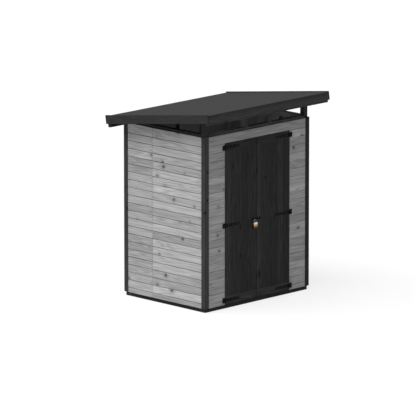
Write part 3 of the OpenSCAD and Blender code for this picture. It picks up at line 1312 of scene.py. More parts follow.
@dataclass
class Cladding:
    """Horizontal matched boards on the four walls, nailed at every stud."""

    board: MatchedBoard = MatchedBoard(90 * MM, 12 * MM, 3.0 * MM, 2.0 * MM, 5.5 * MM)
    front_board: MatchedBoard = MatchedBoard(90 * MM, 12 * MM, 2.2 * MM, 1.6 * MM, 2.6 * MM)
    first_joint: float = 10 * MM
    least_board: float = 30 * MM
    skin: float = 0.55
    wall_seed_step: int = 10
    front_panel: int = 40
    front_seed: int = 152
    top_seed: int = 70
    grain_seed: int = 100
    nail_seed: int = 9
    # Painted shade on all the front's boards.
    front_painted_shade: float = -0.85
    # Painted shade on the boards over the doorway, under the roof, and painted light on the boards
    # near the foot.
    over_door_painted_shade: float = -1.9
    foot_painted_light: float = 0.9
    foot_height: float = 0.34
    butt_gap: float = 1.2 * MM
    nail_in: float = 22 * MM
    nail_edge: float = 12 * MM
    room: float = 0.1

    def build(self) -> None:
        """Builds the boards and the nails of every wall."""
        for seed, wall in enumerate(Wall):
            node, axis, out = wall.value
            ends = levels(node, axis)
            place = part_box(node)[0 if min(out) < 0 else 1].dot(Vector([abs(c) for c in out]))
            face = Face(axis, out, place, tuple(levels(node, Z)))
            rows = []
            for i, (start, end) in enumerate(zip(ends[0::2], ends[1::2])):
                start += self.butt_gap if start > ends[0] else 0.0
                end -= self.butt_gap if end < ends[-1] else 0.0
                grain = seed * self.wall_seed_step + i
                rows.append(self.panel(f"{node}_{i}", self.board, face, (start, end), grain))
            boards = join_pieces(wall.name.lower() + "_wall_boards", rows)
            settle(boards, Body.SHED, Slot.CLADDING, node)
            self.nails(wall.name.lower(), face, self.nail_lines(ends, axis), seed)
        self.front()

    def panel(
        self,
        name: str,
        board: MatchedBoard,
        face: Face,
        ends: tuple[float, float],
        seed: int,
    ) -> Piece:
        """Boards one panel between its ends.

        Args:
            name: The panel's name.
            board: The section of its boards.
            face: The face of the wall.
            ends: The panel's two ends.
            seed: Seed of its grain.

        Returns:
            The panel's boards.
        """
        low, high = face.heights
        along = Vector([1.0 if i == face.axis else 0.0 for i in range(3)])
        corner = face.point(ends[0], self.first_joint) - face.out * board.thick
        place = Matrix.Translation(corner) @ basis(along, UP, face.out)
        count = math.floor((high - self.first_joint - self.least_board) / board.pitch)
        joint = count * board.pitch
        length = ends[1] - ends[0]
        regular = board.row(f"{name}_regular", count, length, place, GREY_CLADDING, seed)
        last = replace(board, pitch=high - self.first_joint - joint + self.least_board)
        above = place @ Matrix.Translation((0, joint, 0))
        top = last.row(f"{name}_top", 1, length, above, GREY_CLADDING, self.top_seed + seed)
        row = join_pieces(name, [regular, top])
        trim(row, [(UP * low, -UP), (UP * high, UP)], self.grain_seed + seed)
        shape = open_mesh(row)
        mark_backs(shape, corner + face.out * board.thick, face.out, self.skin * board.thick)
        close_mesh(row, shape)
        return row

    def front(self) -> None:
        """Boards the front and cuts the doorway out of it."""
        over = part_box("cladding_over_door")
        doorway = levels("front_left_cladding", X)[1], levels("front_right_cladding", X)[0]
        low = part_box("front_left_cladding")[0].z
        ends = (over[0].x, over[1].x)
        face = Face(X, FRONT, over[0].y, (low, over[1].z))
        boards = self.panel("front_wall_boards", self.front_board, face, ends, self.front_panel)
        shape = bmesh.new()
        foot = Vector((doorway[0], over[0].y - self.room, low - self.room))
        add_box(shape, foot, Vector((doorway[1], self.room, over[0].z)))
        carve(boards, "doorway_cut", shape)
        shape = open_mesh(boards)
        # Painted shade on the whole front.
        mark_grain(shape, self.front_seed, shift=self.front_painted_shade)
        mark_backs(shape, over[0], FRONT, self.skin * self.front_board.thick)
        close_mesh(boards, shape)
        # Painted shade over the doorway and painted light near the foot.
        retone(boards, lambda middle, tone: tone + self.height_painted_shade_and_light(middle.z, over[0].z))
        settle(
            boards,
            Body.SHED,
            Slot.CLADDING,
            "front_left_cladding",
            "front_right_cladding",
            "cladding_over_door",
        )
        lines = [ends[0] + self.nail_edge, doorway[0] - self.nail_edge]
        lines += [doorway[1] + self.nail_edge, ends[1] - self.nail_edge]
        self.nails("front", face, lines, self.nail_seed)

    def height_painted_shade_and_light(self, height: float, doorway_top: float) -> float:
        """Finds the painted light or shade of a front board for its height: painted shade over the
        doorway, under the roof, and painted light near the foot.

        Args:
            height: The height of the board's middle.
            doorway_top: The height of the doorway.

        Returns:
            The change of tone.
        """
        if height > doorway_top:
            return self.over_door_painted_shade
        return self.foot_painted_light if height < self.foot_height else 0.0

    def nail_lines(self, ends: list[float], axis: int) -> list[float]:
        """Finds the lines of nails: near each end of a panel and on each stud.

        Args:
            ends: The ends of the wall's panels.
            axis: The axis that the wall runs along.

        Returns:
            The places of the lines along the wall.
        """
        lines = [ends[0] + self.nail_edge, ends[-1] - self.nail_edge]
        for end, start in zip(ends[1:-1:2], ends[2:-1:2]):
            lines += [end - self.nail_edge, start + self.nail_edge]
        studs = middles([s for s in levels("wall_studs", axis) if ends[0] < s < ends[-1]])
        return lines + [s for s in studs if all(abs(s - j) > 2 * self.nail_in for j in ends[1:-1])]

    def nails(self, name: str, face: Face, lines: list[float], seed: int) -> None:
        """Drives two nails through each board on every line.

        Args:
            name: The wall's name.
            face: Its face.
            lines: The lines of nails.
            seed: Seed of the heads' spin.
        """
        low, high = face.heights
        points = []
        count = math.ceil((high - self.first_joint) / self.board.pitch)
        for line in lines:
            for i in range(count):
                foot = self.first_joint + i * self.board.pitch
                for height in (foot + self.nail_in, foot + self.board.pitch - self.nail_in):
                    if low + self.nail_edge < height < high - self.nail_edge:
                        points.append(face.point(line, height))
        nails = NAIL_HEAD.place(f"{name}_wall_nails", points, face.out, seed)
        settle(nails, Body.SHED, Slot.CLADDING)


# Framing and trim.


class RoofPlace:
    """The roof's own axes: from the middle of its front edge, Y down the slope, Z square to it."""

    def __init__(self) -> None:
        """Reads the slope from the felt's corners."""
        corners = [v.co for v in frame["nodes"]["roofing_felt"].data.vertices]
        front = max(corners, key=lambda c: c.z)
        back = max(corners, key=lambda c: c.y)
        slope = math.atan2(front.z - back.z, back.y - front.y)
        self.turn = Matrix.Rotation(-slope, 3, "X")
        self.matrix = Matrix.Translation((0, front.y, front.z)) @ self.turn.to_4x4()

    def depths(self, node: str) -> tuple[Vector, Vector]:
        """A CAD node's lowest and highest corners in the roof's own axes.

        Args:
            node: The CAD node's name.

        Returns:
            The two corners.
        """
        back = self.matrix.inverted()
        places = [back @ v.co for v in frame["nodes"][node].data.vertices]
        low = Vector([min(p[i] for p in places) for i in range(3)])
        high = Vector([max(p[i] for p in places) for i in range(3)])
        return low, high


@dataclass(frozen=True)
class TimberGroup:
    """Timbers of one finish: each CAD node with how far its tone lies from the rest."""

    slot: Slot
    finish: StainedTimber
    first_seed: int
    sloped: bool
    tones: tuple[tuple[str, float], ...]


FRAMING = TimberGroup(
    Slot.FRAME,
    DARK_FRAME,
    200,
    False,
    (
        ("base_bearers", 0.0),
        ("base_joists", 0.0),
        ("front_posts", 0.0),
        ("back_posts", 0.0),
        ("sole_plates", 0.0),
        # Painted shade on the sill, below the doors.
        ("door_sill", -3.0),
        ("wall_studs", 0.0),
        ("door_jambs", 0.0),
        ("door_header", 0.0),
        # Painted light on the front top plate, seen through the gap under the roof.
        ("front_top_plate", 10.5),
        ("back_top_plate", 0.0),
        ("side_top_plates", 0.0),
        # Painted light on the front uprights, seen through the gap under the roof.
        ("front_uprights", 5.0),
    ),
)
ROOF_FRAMING = TimberGroup(
    Slot.FRAME,
    DARK_FRAME,
    230,
    True,
    # Painted light on the rafters and the front roof beam, seen through the gap under the roof.
    (("rafters", 3.0), ("front_roof_beam", 6.0), ("back_roof_beam", 0.0)),
)
ROOF_TRIM = TimberGroup(
    Slot.TRIM,
    BLACK_TRIM,
    240,
    True,
    (
        ("front_fascia", 0.0),
        ("back_fascia", 0.0),
        ("left_bargeboard", BARGEBOARD_TONE),
        ("right_bargeboard", BARGEBOARD_TONE),
    ),
)


@dataclass
class Timbers:
    """Framing and trim: each CAD timber with its arrises eased and its own grain."""

    groups: tuple[TimberGroup, ...] = (FRAMING, ROOF_FRAMING, ROOF_TRIM)
    arris: float = 1.6 * MM
    side_base_tone: float = -6.0
    side_base_past: float = 0.7
    # Painted shade on the front timbers of the base, below the doors.
    front_base_painted_shade: float = -3.5
    front_base_past: float = 0.5
    # Painted shade at the top of the front fascia and painted light at its foot.
    fascia_painted_light_fade: tuple[float, float] = (-3.5, 2.0)
    rail_seed: int = 250
    ledge_seed: int = 260
    low_rail_below: float = 1.0
    low_rail_tone: float = 5.1
    top_rail_tone: float = 0.3

    def build(self, roof: RoofPlace) -> None:
        """Builds every group of timbers.

        Args:
            roof: The roof's axes.
        """
        for group in self.groups:
            axes = roof.turn if group.sloped else None
            for seed, (node, shift) in enumerate(group.tones, group.first_seed):
                piece = self.dress(node, Body.SHED, group.slot, group.finish, seed, axes, shift)
                if node.startswith("base"):
                    retone(piece, self.base_tone)
                elif node == "front_fascia":
                    # Painted shade at the fascia's top and painted light at its foot.
                    fade(piece, *self.fascia_painted_light_fade)
        for i, side in enumerate(("left", "right")):
            leaf = (Body(side + "_door"), Slot.DOOR, BLACK_DOOR)
            rails = self.dress(f"{side}_door_rails", *leaf, self.rail_seed + i)
            retone(rails, self.rail_tone)
            self.dress(f"{side}_door_ledges", *leaf, self.ledge_seed + i)

    def rail_tone(self, middle: Vector, _: float) -> float:
        """The tone of a door rail, which is paler at the foot of the door."""
        return self.low_rail_tone if middle.z < self.low_rail_below else self.top_rail_tone

    def base_tone(self, middle: Vector, tone: float) -> float:
        """Finds the tone of a timber of the base: the side ones are darker, and the front ones
        carry painted shade.

        Args:
            middle: The timber's middle.
            tone: Its own tone.

        Returns:
            Its new tone.
        """
        if abs(middle.x) > self.side_base_past:
            return self.side_base_tone
        return tone + self.front_base_painted_shade if middle.y < -self.front_base_past else tone

    def dress(
        self,
        node: str,
        body: Body,
        slot: Slot,
        timber: StainedTimber,
        seed: int,
        axes: Matrix | None = None,
        shift: float = 0.0,
    ) -> Piece:
        """Makes the eased copy of a CAD node's timbers.

        Args:
            node: The CAD node's name.
            body: The body that it rides on.
            slot: Its material slot.
            timber: Its finish.
            seed: Seed of its grain.
            axes: The axes that it lies along.
            shift: How far its tone lies above or below the rest.

        Returns:
            The new piece, which replaces the node.
        """
        shape = open_mesh(frame["nodes"][node])
        corners, edges = shape.verts[:], shape.edges[:]
        bmesh.ops.dissolve_limit(shape, angle_limit=FLAT, verts=corners, edges=edges)
        ease(shape, self.arris)
        mark_grain(shape, seed, axes, shift)
        name = node.replace("_ledges", "_ledges_and_braces") + "_timber"
        piece = piece_from(name, shape, timber.material())
        return settle(piece, body, slot, node)


@dataclass
class CornerBoards:
    """Two boards butted round each corner, screwed to the posts."""

    arris: float = 1.5 * MM
    tones: tuple[tuple[str, float], ...] = (
        ("front_left", 0.0),
        # Painted shade on the front right corner's boards.
        ("front_right", -6.0),
        ("back_left", -1.5),
        ("back_right", 0.0),
    )
    grain_seed: int = 300
    screw_pitch: float = 380 * MM
    screw_end: float = 60 * MM

    def build(self) -> None:
        """Builds the four corners and their screws."""
        for seed, (corner, tone) in enumerate(self.tones):
            self.corner(corner, tone, seed)

    def corner(self, name: str, tone: float, seed: int) -> None:
        """Builds the two boards of one corner.

        Args:
            name: The corner's name.
            tone: How far its tone lies above or below the rest.
            seed: Added to the seed of its grain, and the seed of its screws.
        """
        node = name + "_corner_board"
        low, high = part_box(node)
        xs, ys = levels(node, X), levels(node, Y)
        left = "left" in name
        front = "front" in name
        outer_x, inner_x = (xs[0], xs[1]) if left else (xs[2], xs[1])
        outer_y, inner_y = (ys[0], ys[1]) if front else (ys[2], ys[1])
        far_x = high.x if left else low.x
        shape = bmesh.new()
        for a, b in (
            ((outer_x, low.y), (inner_x, high.y)),
            ((inner_x, outer_y), (far_x, inner_y)),
        ):
            x0, x1 = sorted((a[0], b[0]))
            y0, y1 = sorted((a[1], b[1]))
            add_box(shape, Vector((x0, y0, low.z)), Vector((x1, y1, high.z)))
        ease(shape, self.arris)
        mark_grain(shape, self.grain_seed + seed, None, tone)
        piece = piece_from(name + "_corner_boards", shape, BLACK_TRIM.material())
        settle(piece, Body.SHED, Slot.TRIM, node)
        self.screws(name, low, high, (outer_x, inner_x, far_x), (outer_y, inner_y), seed)

    def screws(
        self,
        name: str,
        low: Vector,
        high: Vector,
        xs: tuple[float, float, float],
        ys: tuple[float, float],
        seed: int,
    ) -> None:
        """Sets the screws down both boards.

        Args:
            name: The corner's name.
            low: The corner board's lowest corner.
            high: Its highest corner.
            xs: Outer face, inner face and far edge along X.
            ys: Outer and inner face along Y.
            seed: Seed of the heads' spin.
        """
        run = high.z - low.z - 2 * self.screw_end
        count = round(run / self.screw_pitch)
        step = run / count
        heights = [low.z + self.screw_end + i * step for i in range(count + 1)]
        side = [Vector((xs[0], (low.y + high.y) / 2, z)) for z in heights]
        face = [Vector(((xs[1] + xs[2]) / 2, ys[0], z)) for z in heights]
        side_out = Vector((1 if xs[0] > xs[1] else -1, 0, 0))
        face_out = Vector((0, 1 if ys[0] > ys[1] else -1, 0))
        parts = [
            SCREW_HEAD.place(f"{name}_{label}_screws", points, out, seed)
            for label, points, out in (("side", side, side_out), ("face", face, face_out))
        ]
        settle(join_pieces(name + "_corner_screws", parts), Body.SHED, Slot.TRIM)


@dataclass
class Floor:
    """Matched floor boards across the joists."""

    board: MatchedBoard = MatchedBoard(110 * MM, 18 * MM, 1.0 * MM, 1.0 * MM, 1.2 * MM)
    row_seed: int = 60
    grain_seed: int = 61

    def build(self) -> None:
        """Builds the floor."""
        low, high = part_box("floor_boards")
        first = low.y - self.board.pitch / 2
        place = Matrix.Translation((low.x, first, low.z))
        count = math.ceil((high.y - first) / self.board.pitch)
        length = high.x - low.x
        row = self.board.row("floor_planks", count, length, place, INNER_FLOOR, self.row_seed)
        trim(row, [(low, FRONT), (high, -FRONT)], self.grain_seed)
        settle(row, Body.SHED, Slot.FLOOR, "floor_boards")


@dataclass
class RoofCover:
    """Matched roof boards with their joints downwards, under two lapped strips of felt."""

    board: MatchedBoard = MatchedBoard(95 * MM, 18 * MM, 3 * MM, 3 * MM, 1.6 * MM)
    lap: float = 75 * MM
    felt_round: float = 0.5 * MM
    screw_in: float = 24 * MM
    end_screw: float = 36 * MM
    sink_deep: float = 1.5 * MM
    sink_floor: float = 4.4 * MM
    sink_mouth: float = 6.2 * MM
    sink_sides: int = 16
    row_seed: int = 70
    grain_seed: int = 71
    board_screw_seed: int = 80
    fascia_screw_seed: int = 81
    bargeboard_seed: int = 242

    def build(self, roof: RoofPlace) -> None:
        """Builds the boards, the felt and the screws of the trim.

        Args:
            roof: The roof's axes.
        """
        self.boards(roof)
        self.felt(roof)
        self.screws(roof)

    def boards(self, roof: RoofPlace) -> None:
        """Lays the roof boards from the front to the back.

        Args:
            roof: The roof's axes.
        """
        low, high = roof.depths("roof_boards")
        flip = basis(Vector((1, 0, 0)), Vector((0, 1, 0)), -UP)
        place = roof.matrix @ Matrix.Translation((low.x, low.y, high.z)) @ flip
        count = math.ceil((high.y - low.y) / self.board.pitch)
        length = high.x - low.x
        row = self.board.row("roof_planks", count, length, place, ROOF_BOARDS, self.row_seed)
        down = roof.turn @ Vector((0, 1, 0))
        planes = [(roof.matrix @ low, -down), (roof.matrix @ high, down)]
        trim(row, planes, self.grain_seed, roof.turn)
        settle(row, Body.SHED, Slot.ROOF, "roof_boards")

    def felt(self, roof: RoofPlace) -> None:
        """Lays the felt: the upper strip laps over the lower one, halfway down the slope.

        Args:
            roof: The roof's axes.
        """
        low, high = roof.depths("roofing_felt")
        half = low.z + (high.z - low.z) / 2
        middle = (low.y + high.y) / 2
        lapped = middle - self.lap
        shape = bmesh.new()
        add_box(shape, Vector((low.x, lapped, low.z)), Vector((high.x, high.y, half)))
        section = [
            (low.y, low.z),
            (lapped, low.z),
            (lapped, half),
            (middle, half),
            (middle, high.z),
            (lapped, high.z),
            (low.y, high.z),
        ]
        add_prism(shape, section, high.x - low.x, Matrix.Translation((low.x, 0, 0)))
        bmesh.ops.transform(shape, matrix=roof.matrix, verts=shape.verts[:])
        ease(shape, self.felt_round, 1)
        piece = piece_from("mineral_felt_strips", shape, FELT.material())
        settle(piece, Body.SHED, Slot.FELT, "roofing_felt")

    def screws(self, roof: RoofPlace) -> None:
        """Sets the screws that hold the bargeboards and the fascias.

        Args:
            roof: The roof's axes.
        """
        parts = []
        rows = (-self.screw_in, self.screw_in)
        boards = (("left_bargeboard", Vector((-1, 0, 0))), ("right_bargeboard", Vector((1, 0, 0))))
        for seed, (name, out) in enumerate(boards, self.bargeboard_seed):
            low, high = roof.depths(name)
            run = high.y - low.y
            middle = (low.z + high.z) / 2
            face = low.x if out.x < 0 else high.x
            points = [
                roof.matrix @ Vector((face, low.y + along, middle + row))
                for along in (self.end_screw, run / 3, 2 * run / 3, run - self.end_screw)
                for row in rows
            ]
            self.countersink(bpy.data.objects[name + "_timber"], points, out, roof.turn, seed)
            sunk = [point - out * self.sink_deep for point in points]
            parts.append(SCREW_HEAD.place(name + "_screws", sunk, out, self.board_screw_seed))
        uprights = middles(levels("front_uprights", X))
        for name, out in (("front_fascia", Vector((0, -1, 0))), ("back_fascia", Vector((0, 1, 0)))):
            low, high = roof.depths(name)
            face = low.y if out.y < 0 else high.y
            middle = (low.z + high.z) / 2
            points = [
                roof.matrix @ Vector((along, face, middle + row))
                for along in (low.x + self.screw_in, *uprights, high.x - self.screw_in)
                for row in rows
            ]
            out = roof.turn @ out
            parts.append(SCREW_HEAD.place(name + "_screws", points, out, self.fascia_screw_seed))
        settle(join_pieces("roof_trim_screws", parts), Body.SHED, Slot.TRIM)

    def countersink(
        self,
        board: Piece,
        points: list[Vector],
        out: Vector,
        axes: Matrix,
        seed: int,
    ) -> None:
        """Sinks the screw holes of a bargeboard, so that its screws end flush with its face.

        Args:
            board: The bargeboard.
            points: The holes' middles on its face.
            out: The face's outward direction.
            axes: The axes that the board lies along.
            seed: Seed of its grain, which the cut leaves to be marked again.
        """
        shape = bmesh.new()
        turn = facing(out).to_matrix().to_4x4()
        for point in points:
            bmesh.ops.create_cone(
                shape,
                cap_ends=True,
                segments=self.sink_sides,
                radius1=self.sink_floor,
                radius2=self.sink_mouth,
                depth=2 * self.sink_deep,
                matrix=Matrix.Translation(point) @ turn,
            )
        carve(board, "countersinks", shape)
        worked = open_mesh(board)
        mark_grain(worked, seed, axes, BARGEBOARD_TONE)
        close_mesh(board, worked)


# Doors.


@dataclass
class DoorLeaf:
    """One leaf: upright matched boards between two rails, on three straps."""

    side: str
    meeting_board: float
    pale_boards: tuple[int, ...]
    grain_seed: int
    board: MatchedBoard = MatchedBoard(90 * MM, 18 * MM, 1.6 * MM, 1.6 * MM, 1.4 * MM)
    regular: int = 4
    row_seed: int = 90
    pale_tone: float = 2.85
    bolts: tuple[float, ...] = (55 * MM, 120 * MM, 190 * MM)
    bolt_seed: int = 95

    def build(self) -> None:
        """Builds the leaf's boards and the bolts of its straps."""
        self.boards()
        self.strap_bolts()

    @property
    def body(self) -> Body:
        """The body that the leaf rides on."""
        return Body(self.side + "_door")

    @property
    def towards(self) -> int:
        """The direction along X from the meeting edge to the hinges."""
        return -1 if self.side == "left" else 1

    @property
    def edges(self) -> tuple[float, float]:
        """The places of the meeting edge and of the hinge edge along X."""
        low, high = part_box(self.side + "_door_boards")
        return (high.x, low.x) if self.side == "left" else (low.x, high.x)

    def boards(self) -> None:
        """Boards the leaf from its meeting edge to its hinge edge."""
        node = self.side + "_door_boards"
        low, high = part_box(node)
        meeting, outer = self.edges
        first = meeting + self.towards * self.meeting_board
        last = first + self.towards * self.regular * self.board.pitch
        runs = [
            (meeting, self.meeting_board, 1),
            (first, self.board.pitch, self.regular),
            (last, abs(outer - last), 1),
        ]
        across = Vector((self.towards, 0, 0))
        turn = basis(UP, across, FRONT)
        parts = []
        for i, (start, pitch, count) in enumerate(runs):
            place = Matrix.Translation((start, high.y, low.z)) @ turn
            section = replace(self.board, pitch=pitch, thick=high.y - low.y)
            row = (f"{node}_{i}", count, high.z - low.z, place, BLACK_DOOR, self.row_seed + i)
            parts.append(section.row(*row))
        leaf = join_pieces(self.side + "_door_planks", parts)
        planes = [(Vector((meeting, 0, 0)), -across), (Vector((outer, 0, 0)), across)]
        trim(leaf, planes, self.grain_seed)
        retone(leaf, self.board_tone)
        settle(leaf, self.body, Slot.DOOR, node)

    def board_tone(self, middle: Vector, tone: float) -> float:
        """Finds a board's tone: a chosen board is paler, as one in a batch takes less stain.

        Args:
            middle: The board's middle.
            tone: Its own tone.

        Returns:
            Its new tone.
        """
        joints = [self.meeting_board + i * self.board.pitch for i in range(self.regular + 1)]
        reach = (middle.x - self.edges[0]) * self.towards
        index = sum(1 for joint in joints if reach > joint)
        return self.pale_tone if index in self.pale_boards else tone

    def strap_bolts(self) -> None:
        """Sets the bolts along the three straps and gives the straps their finish."""
        node = self.side + "_door_straps"
        heights = sorted({round(height, DECIMALS) for height in self.strap_heights(node)})
        pin = self.pin_place()
        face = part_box(self.side + "_door_boards")[0].y - IRON_THICK
        places = [pin - self.towards * reach for reach in self.bolts]
        points = [Vector((place, face, height)) for height in heights for place in places]
        bolts = BOLT_HEAD.place(self.side + "_strap_bolts", points, FRONT, self.bolt_seed)
        settle(bolts, self.body, Slot.IRON)
        keep_node(node, IRON.material())

    def pin_place(self) -> float:
        """The place of the hinge pins along X."""
        joint = next(j for j in frame["joints"] if j["child"] == self.body.value)
        return joint["pos_m"][0]

    def strap_heights(self, node: str) -> list[float]:
        """The heights of a leaf's straps.

        Args:
            node: The CAD node of the straps.

        Returns:
            The middle of each strap.
        """
        shape = open_mesh(frame["nodes"][node])
        found = []
        for solid in solids_of(shape):
            heights = [v.co.z for v in solid]
            found.append((min(heights) + max(heights)) / 2)
        shape.free()
        return found


@dataclass
class Ironwork:
    """Hinge plates, hasp and staple, with their screws."""

    plate_screw: float = 20 * MM
    plate_in: float = 16 * MM
    plate_seed: int = 96
    hasp_screw: float = 8 * MM
    hasp_rise: float = 5.6 * MM
    hasp_seed: int = 97

    def build(self) -> None:
        """Gives the ironwork its finish and its screws."""
        for node in ("hinge_plates", "hasp_staple", "hasp_strap"):
            keep_node(node, IRON.material())
        self.hinge_screws()
        self.hasp_screws()

    def hinge_screws(self) -> None:
        """Sets two screws in each plate on the wall."""
        shape = open_mesh(frame["nodes"]["hinge_plates"])
        points = []
        for solid in solids_of(shape):
            outer = max((v.co.x for v in solid), key=abs)
            face = min(v.co.y for v in solid if abs(v.co.x - outer) < MM)
            heights = [v.co.z for v in solid]
            middle = (min(heights) + max(heights)) / 2
            place = outer - math.copysign(self.plate_in, outer)
            points += [Vector((place, face, middle + side * self.plate_screw)) for side in (-1, 1)]
        shape.free()
        screws = SCREW_HEAD.place("hinge_plate_screws", points, FRONT, self.plate_seed)
        settle(screws, Body.SHED, Slot.IRON)

    def hasp_screws(self) -> None:
        """Sets the screws of the hasp and of the staple plate."""
        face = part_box("left_door_boards")[0].y - IRON_THICK
        for node, body in (("hasp_staple", Body.LEFT_DOOR), ("hasp_strap", Body.RIGHT_DOOR)):
            low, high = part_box(node)
            height = (low.z + high.z) / 2
            far = low.x + self.hasp_screw if body is Body.LEFT_DOOR else high.x - self.hasp_screw
            points = [Vector((far, face, height + side * self.hasp_rise)) for side in (-1, 1)]
            screws = SCREW_HEAD.place(node + "_screws", points, FRONT, self.hasp_seed)
            settle(screws, body, Slot.IRON)


@dataclass
class Padlock:
    """A brass padlock with a steel shackle."""

    round_corner: float = 5 * MM
    corner_steps: int = 5
    edge: float = 1.6 * MM
    edge_steps: int = 3
    wire: float = 4 * MM
    collar: tuple[tuple[float, float], ...] = (
        (6.2 * MM, -1 * MM),
        (6.2 * MM, 0.5 * MM),
        (5.7 * MM, 0.9 * MM),
        (4.4 * MM, 0.9 * MM),
        (4.3 * MM, -0.9 * MM),
    )
    collar_sides: int = 24
    plug: float = 8 * MM
    plug_deep: float = 1.2 * MM
    plug_round: float = 0.3 * MM
    plug_sides: int = 32
    slot: tuple[Vector, Vector] = (Vector((-0.8, -4.0, -0.7)) * MM, Vector((0.8, 4.0, 0.2)) * MM)

    def build(self) -> None:
        """Builds the body, its plug and collars, and keeps the shackle."""
        low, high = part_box("padlock_body")
        shape = bmesh.new()
        add_box(shape, low, high)
        upright = [e for e in shape.edges if abs(e.verts[0].co.y - e.verts[1].co.y) > MM]
        bmesh.ops.bevel(
            shape,
            geom=upright,
            offset=self.round_corner,
            segments=self.corner_steps,
            affect="EDGES",
        )
        ease(shape, self.edge, self.edge_steps)
        parts = [piece_from("padlock_case", shape, BRASS.material())]
        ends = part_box("padlock_shackle")
        depth = (ends[0].y + ends[1].y) / 2
        for leg in (ends[0].x + self.wire, ends[1].x - self.wire):
            collar = Head(f"collar_{leg:.3f}", BRASS, self.collar, self.collar_sides).object()
            collar.data.transform(Matrix.Translation((leg, depth, high.z)))
            parts.append(collar)
        settle(join_pieces("padlock_case", parts), Body.LEFT_DOOR, Slot.BRASS, "padlock_body")
        middle = (low + high) / 2
        settle(self.keyway(Vector((middle.x, middle.y, low.z))), Body.LEFT_DOOR, Slot.STEEL)
        keep_node("padlock_shackle", STEEL.material())

    def keyway(self, foot: Vector) -> Piece:
        """Builds the lock's plug in the underside, with the slot for its key.

        Args:
            foot: The middle of the body's underside.

        Returns:
            The plug.
        """
        shape = bmesh.new()
        bmesh.ops.create_cone(
            shape,
            cap_ends=True,
            segments=self.plug_sides,
            radius1=self.plug,
            radius2=self.plug,
            depth=self.plug_deep,
            matrix=Matrix.Translation(foot),
        )
        ease(shape, self.plug_round)
        add_box(shape, foot + self.slot[0], foot + self.slot[1])
        return piece_from("padlock_plug", shape, STEEL.material())


# The studio.


@dataclass(frozen=True)
class SoftLamp:
    """One large soft box, far away: its direction in degrees, its strength and its breadth."""

    name: str
    turn: float
    rise: float
    strength: float
    angle: float = 35.0

    def hang(self) -> None:
        """Hangs the lamp so that it shines on the object from its side."""
        turn, rise = math.radians(self.turn), math.radians(self.rise)
        flat = math.cos(rise)
        source = Vector((math.cos(turn) * flat, math.sin(turn) * flat, math.sin(rise)))
        lamp = bpy.data.lights.new(self.name, "SUN")
        lamp.energy = self.strength
        lamp.angle = math.radians(self.angle)
        lit = bpy.data.objects.new(self.name, lamp)
        lit.rotation_euler = source.to_track_quat("Z", "Y").to_euler()
        bpy.context.scene.collection.objects.link(lit)


@dataclass(frozen=True)
class InnerLamp:
    """A square lamp inside, itself unseen, that shows the inside through the gap under the roof."""

    name: str
    place: tuple[float, float, float]
    towards: tuple[float, float, float]
    power: float
    size: float

    def hang(self) -> None:
        """Hangs the lamp at its place."""
        lamp = bpy.data.lights.new(self.name, "AREA")
        lamp.energy = self.power
        lamp.size = self.size
        lit = bpy.data.objects.new(self.name, lamp)
        lit.location = self.place
        lit.rotation_euler = Vector(self.towards).to_track_quat("-Z", "Y").to_euler()
        lit.visible_camera = False
        lit.visible_glossy = False
        bpy.context.scene.collection.objects.link(lit)


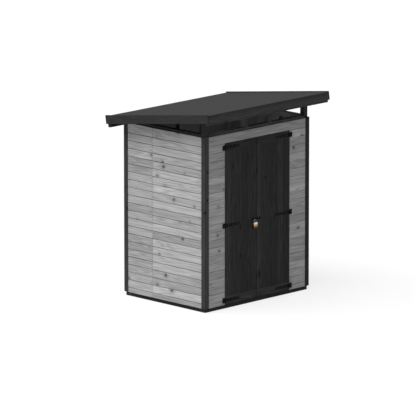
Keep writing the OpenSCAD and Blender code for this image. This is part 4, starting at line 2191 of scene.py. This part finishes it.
@dataclass
class Studio:
    """A pale floor, soft light from the left and a long lens."""

    azimuth: float = -45.321
    elevation: float = 12.276
    distance: float = 62.66
    view_depth: float = 3.0
    lens: float = 477.2
    sensor: float = 36.0
    aim_height: float = 1.1
    floor_half: float = 17.0
    shift: tuple[float, float] = (-0.0223, -0.0229)
    lamps: tuple[SoftLamp, ...] = (
        SoftLamp("key_left_high", 180.0, 65.0, 2.00),
        SoftLamp("fill_back_left", 135.0, 40.0, 1.15),
        SoftLamp("fill_back_high", 90.0, 65.0, 0.45),
        SoftLamp("fill_front_left", 225.0, 40.0, 0.66),
        SoftLamp("fill_right", 0.0, 40.0, 0.50),
    )
    ambient: float = 0.06
    inner_lamps: tuple[InnerLamp, ...] = (
        InnerLamp("inner_fill", (0.05, -0.42, 1.62), (0.7, 0.8, 0.15), 9.5, 0.3),
        InnerLamp("gap_fill", (-0.74, -0.36, 2.12), (1.0, 0.0, 0.0), 2.1, 0.06),
    )
    floor_glow: float = 0.766
    floor_shade: float = 0.218
    floor_bounce: float = 0.75

    def build(self) -> None:
        """Builds the floor, the world, the lamps and the camera."""
        self.floor()
        self.world()
        for lamp in (*self.lamps, *self.inner_lamps):
            lamp.hang()
        self.camera()

    def floor(self) -> None:
        """Lays the pale floor, which glows to the camera and still takes the shadow."""
        material = bpy.data.materials.new("pale_studio_floor")
        material.use_nodes = True
        tree = material.node_tree
        tree.nodes.clear()
        seen = self.seen_directly(tree)
        matt, shade = [
            add_node(tree, "ShaderNodeBsdfDiffuse", {"Color": (level, level, level, 1.0)})
            for level in (self.floor_bounce, self.floor_shade)
        ]
        glow = add_node(tree, "ShaderNodeEmission", {"Color": WHITE, "Strength": self.floor_glow})
        both = add_node(tree, "ShaderNodeAddShader", {0: shade.outputs[0], 1: glow.outputs[0]})
        mixed = add_node(
            tree, "ShaderNodeMixShader", {0: seen, 1: matt.outputs[0], 2: both.outputs[0]}
        )
        add_node(tree, "ShaderNodeOutputMaterial", {"Surface": mixed.outputs[0]})
        shape = bmesh.new()
        bmesh.ops.create_grid(shape, x_segments=2, y_segments=2, size=self.floor_half)
        piece_from("studio_floor", shape, material)

    def seen_directly(self, tree: Tree) -> Socket:
        """A value that is 1 for rays from the camera, from gloss and through glass.

        Args:
            tree: The tree that gets the nodes.

        Returns:
            The value's socket.
        """
        path = add_node(tree, "ShaderNodeLightPath")
        seen = path.outputs["Is Camera Ray"]
        for ray in ("Is Glossy Ray", "Is Transmission Ray"):
            pair = {0: seen, 1: path.outputs[ray]}
            seen = add_node(tree, "ShaderNodeMath", pair, operation="MAXIMUM").outputs[0]
        return seen

    def world(self) -> None:
        """Gives the world an even light and a white look."""
        world = bpy.data.worlds.new("studio_world")
        world.use_nodes = True
        tree = world.node_tree
        tree.nodes.clear()
        seen = self.seen_directly(tree)
        lit, white = [
            add_node(tree, "ShaderNodeBackground", {"Color": WHITE, "Strength": strength})
            for strength in (self.ambient, 1.0)
        ]
        mixed = add_node(
            tree, "ShaderNodeMixShader", {0: seen, 1: lit.outputs[0], 2: white.outputs[0]}
        )
        add_node(tree, "ShaderNodeOutputWorld", {"Surface": mixed.outputs[0]})
        bpy.context.scene.world = world

    def camera(self) -> None:
        """Sets the camera on its line to the shed."""
        azimuth, elevation = math.radians(self.azimuth), math.radians(self.elevation)
        flat = math.cos(elevation)
        north, east = math.cos(azimuth) * flat, -math.sin(azimuth) * flat
        towards = Vector((east, north, -math.sin(elevation)))
        view = bpy.data.cameras.new("view")
        view.lens = self.lens
        view.sensor_width = self.sensor
        view.shift_x, view.shift_y = self.shift
        view.clip_end = self.view_depth * self.distance
        camera = bpy.data.objects.new("view", view)
        camera.location = Vector((0, 0, self.aim_height)) - towards * self.distance
        camera.rotation_euler = towards.to_track_quat("-Z", "Y").to_euler()
        bpy.context.scene.collection.objects.link(camera)
        bpy.context.scene.camera = camera
        bpy.context.scene.view_settings.view_transform = "Standard"


def main() -> None:
    """Builds the shed's looks in order."""
    logging.basicConfig(level=logging.INFO, format="%(name)s: %(message)s")
    roof = RoofPlace()
    Studio().build()
    Timbers().build(roof)
    Cladding().build()
    CornerBoards().build()
    Floor().build()
    RoofCover().build(roof)
    DoorLeaf("left", meeting_board=54 * MM, pale_boards=(5,), grain_seed=508).build()
    DoorLeaf("right", meeting_board=66 * MM, pale_boards=(0,), grain_seed=514).build()
    Ironwork().build()
    Padlock().build()
    for head in (SCREW_HEAD, NAIL_HEAD, BOLT_HEAD):
        bpy.data.objects.remove(bpy.data.objects[head.name])


if __name__ == "__main__":
    main()
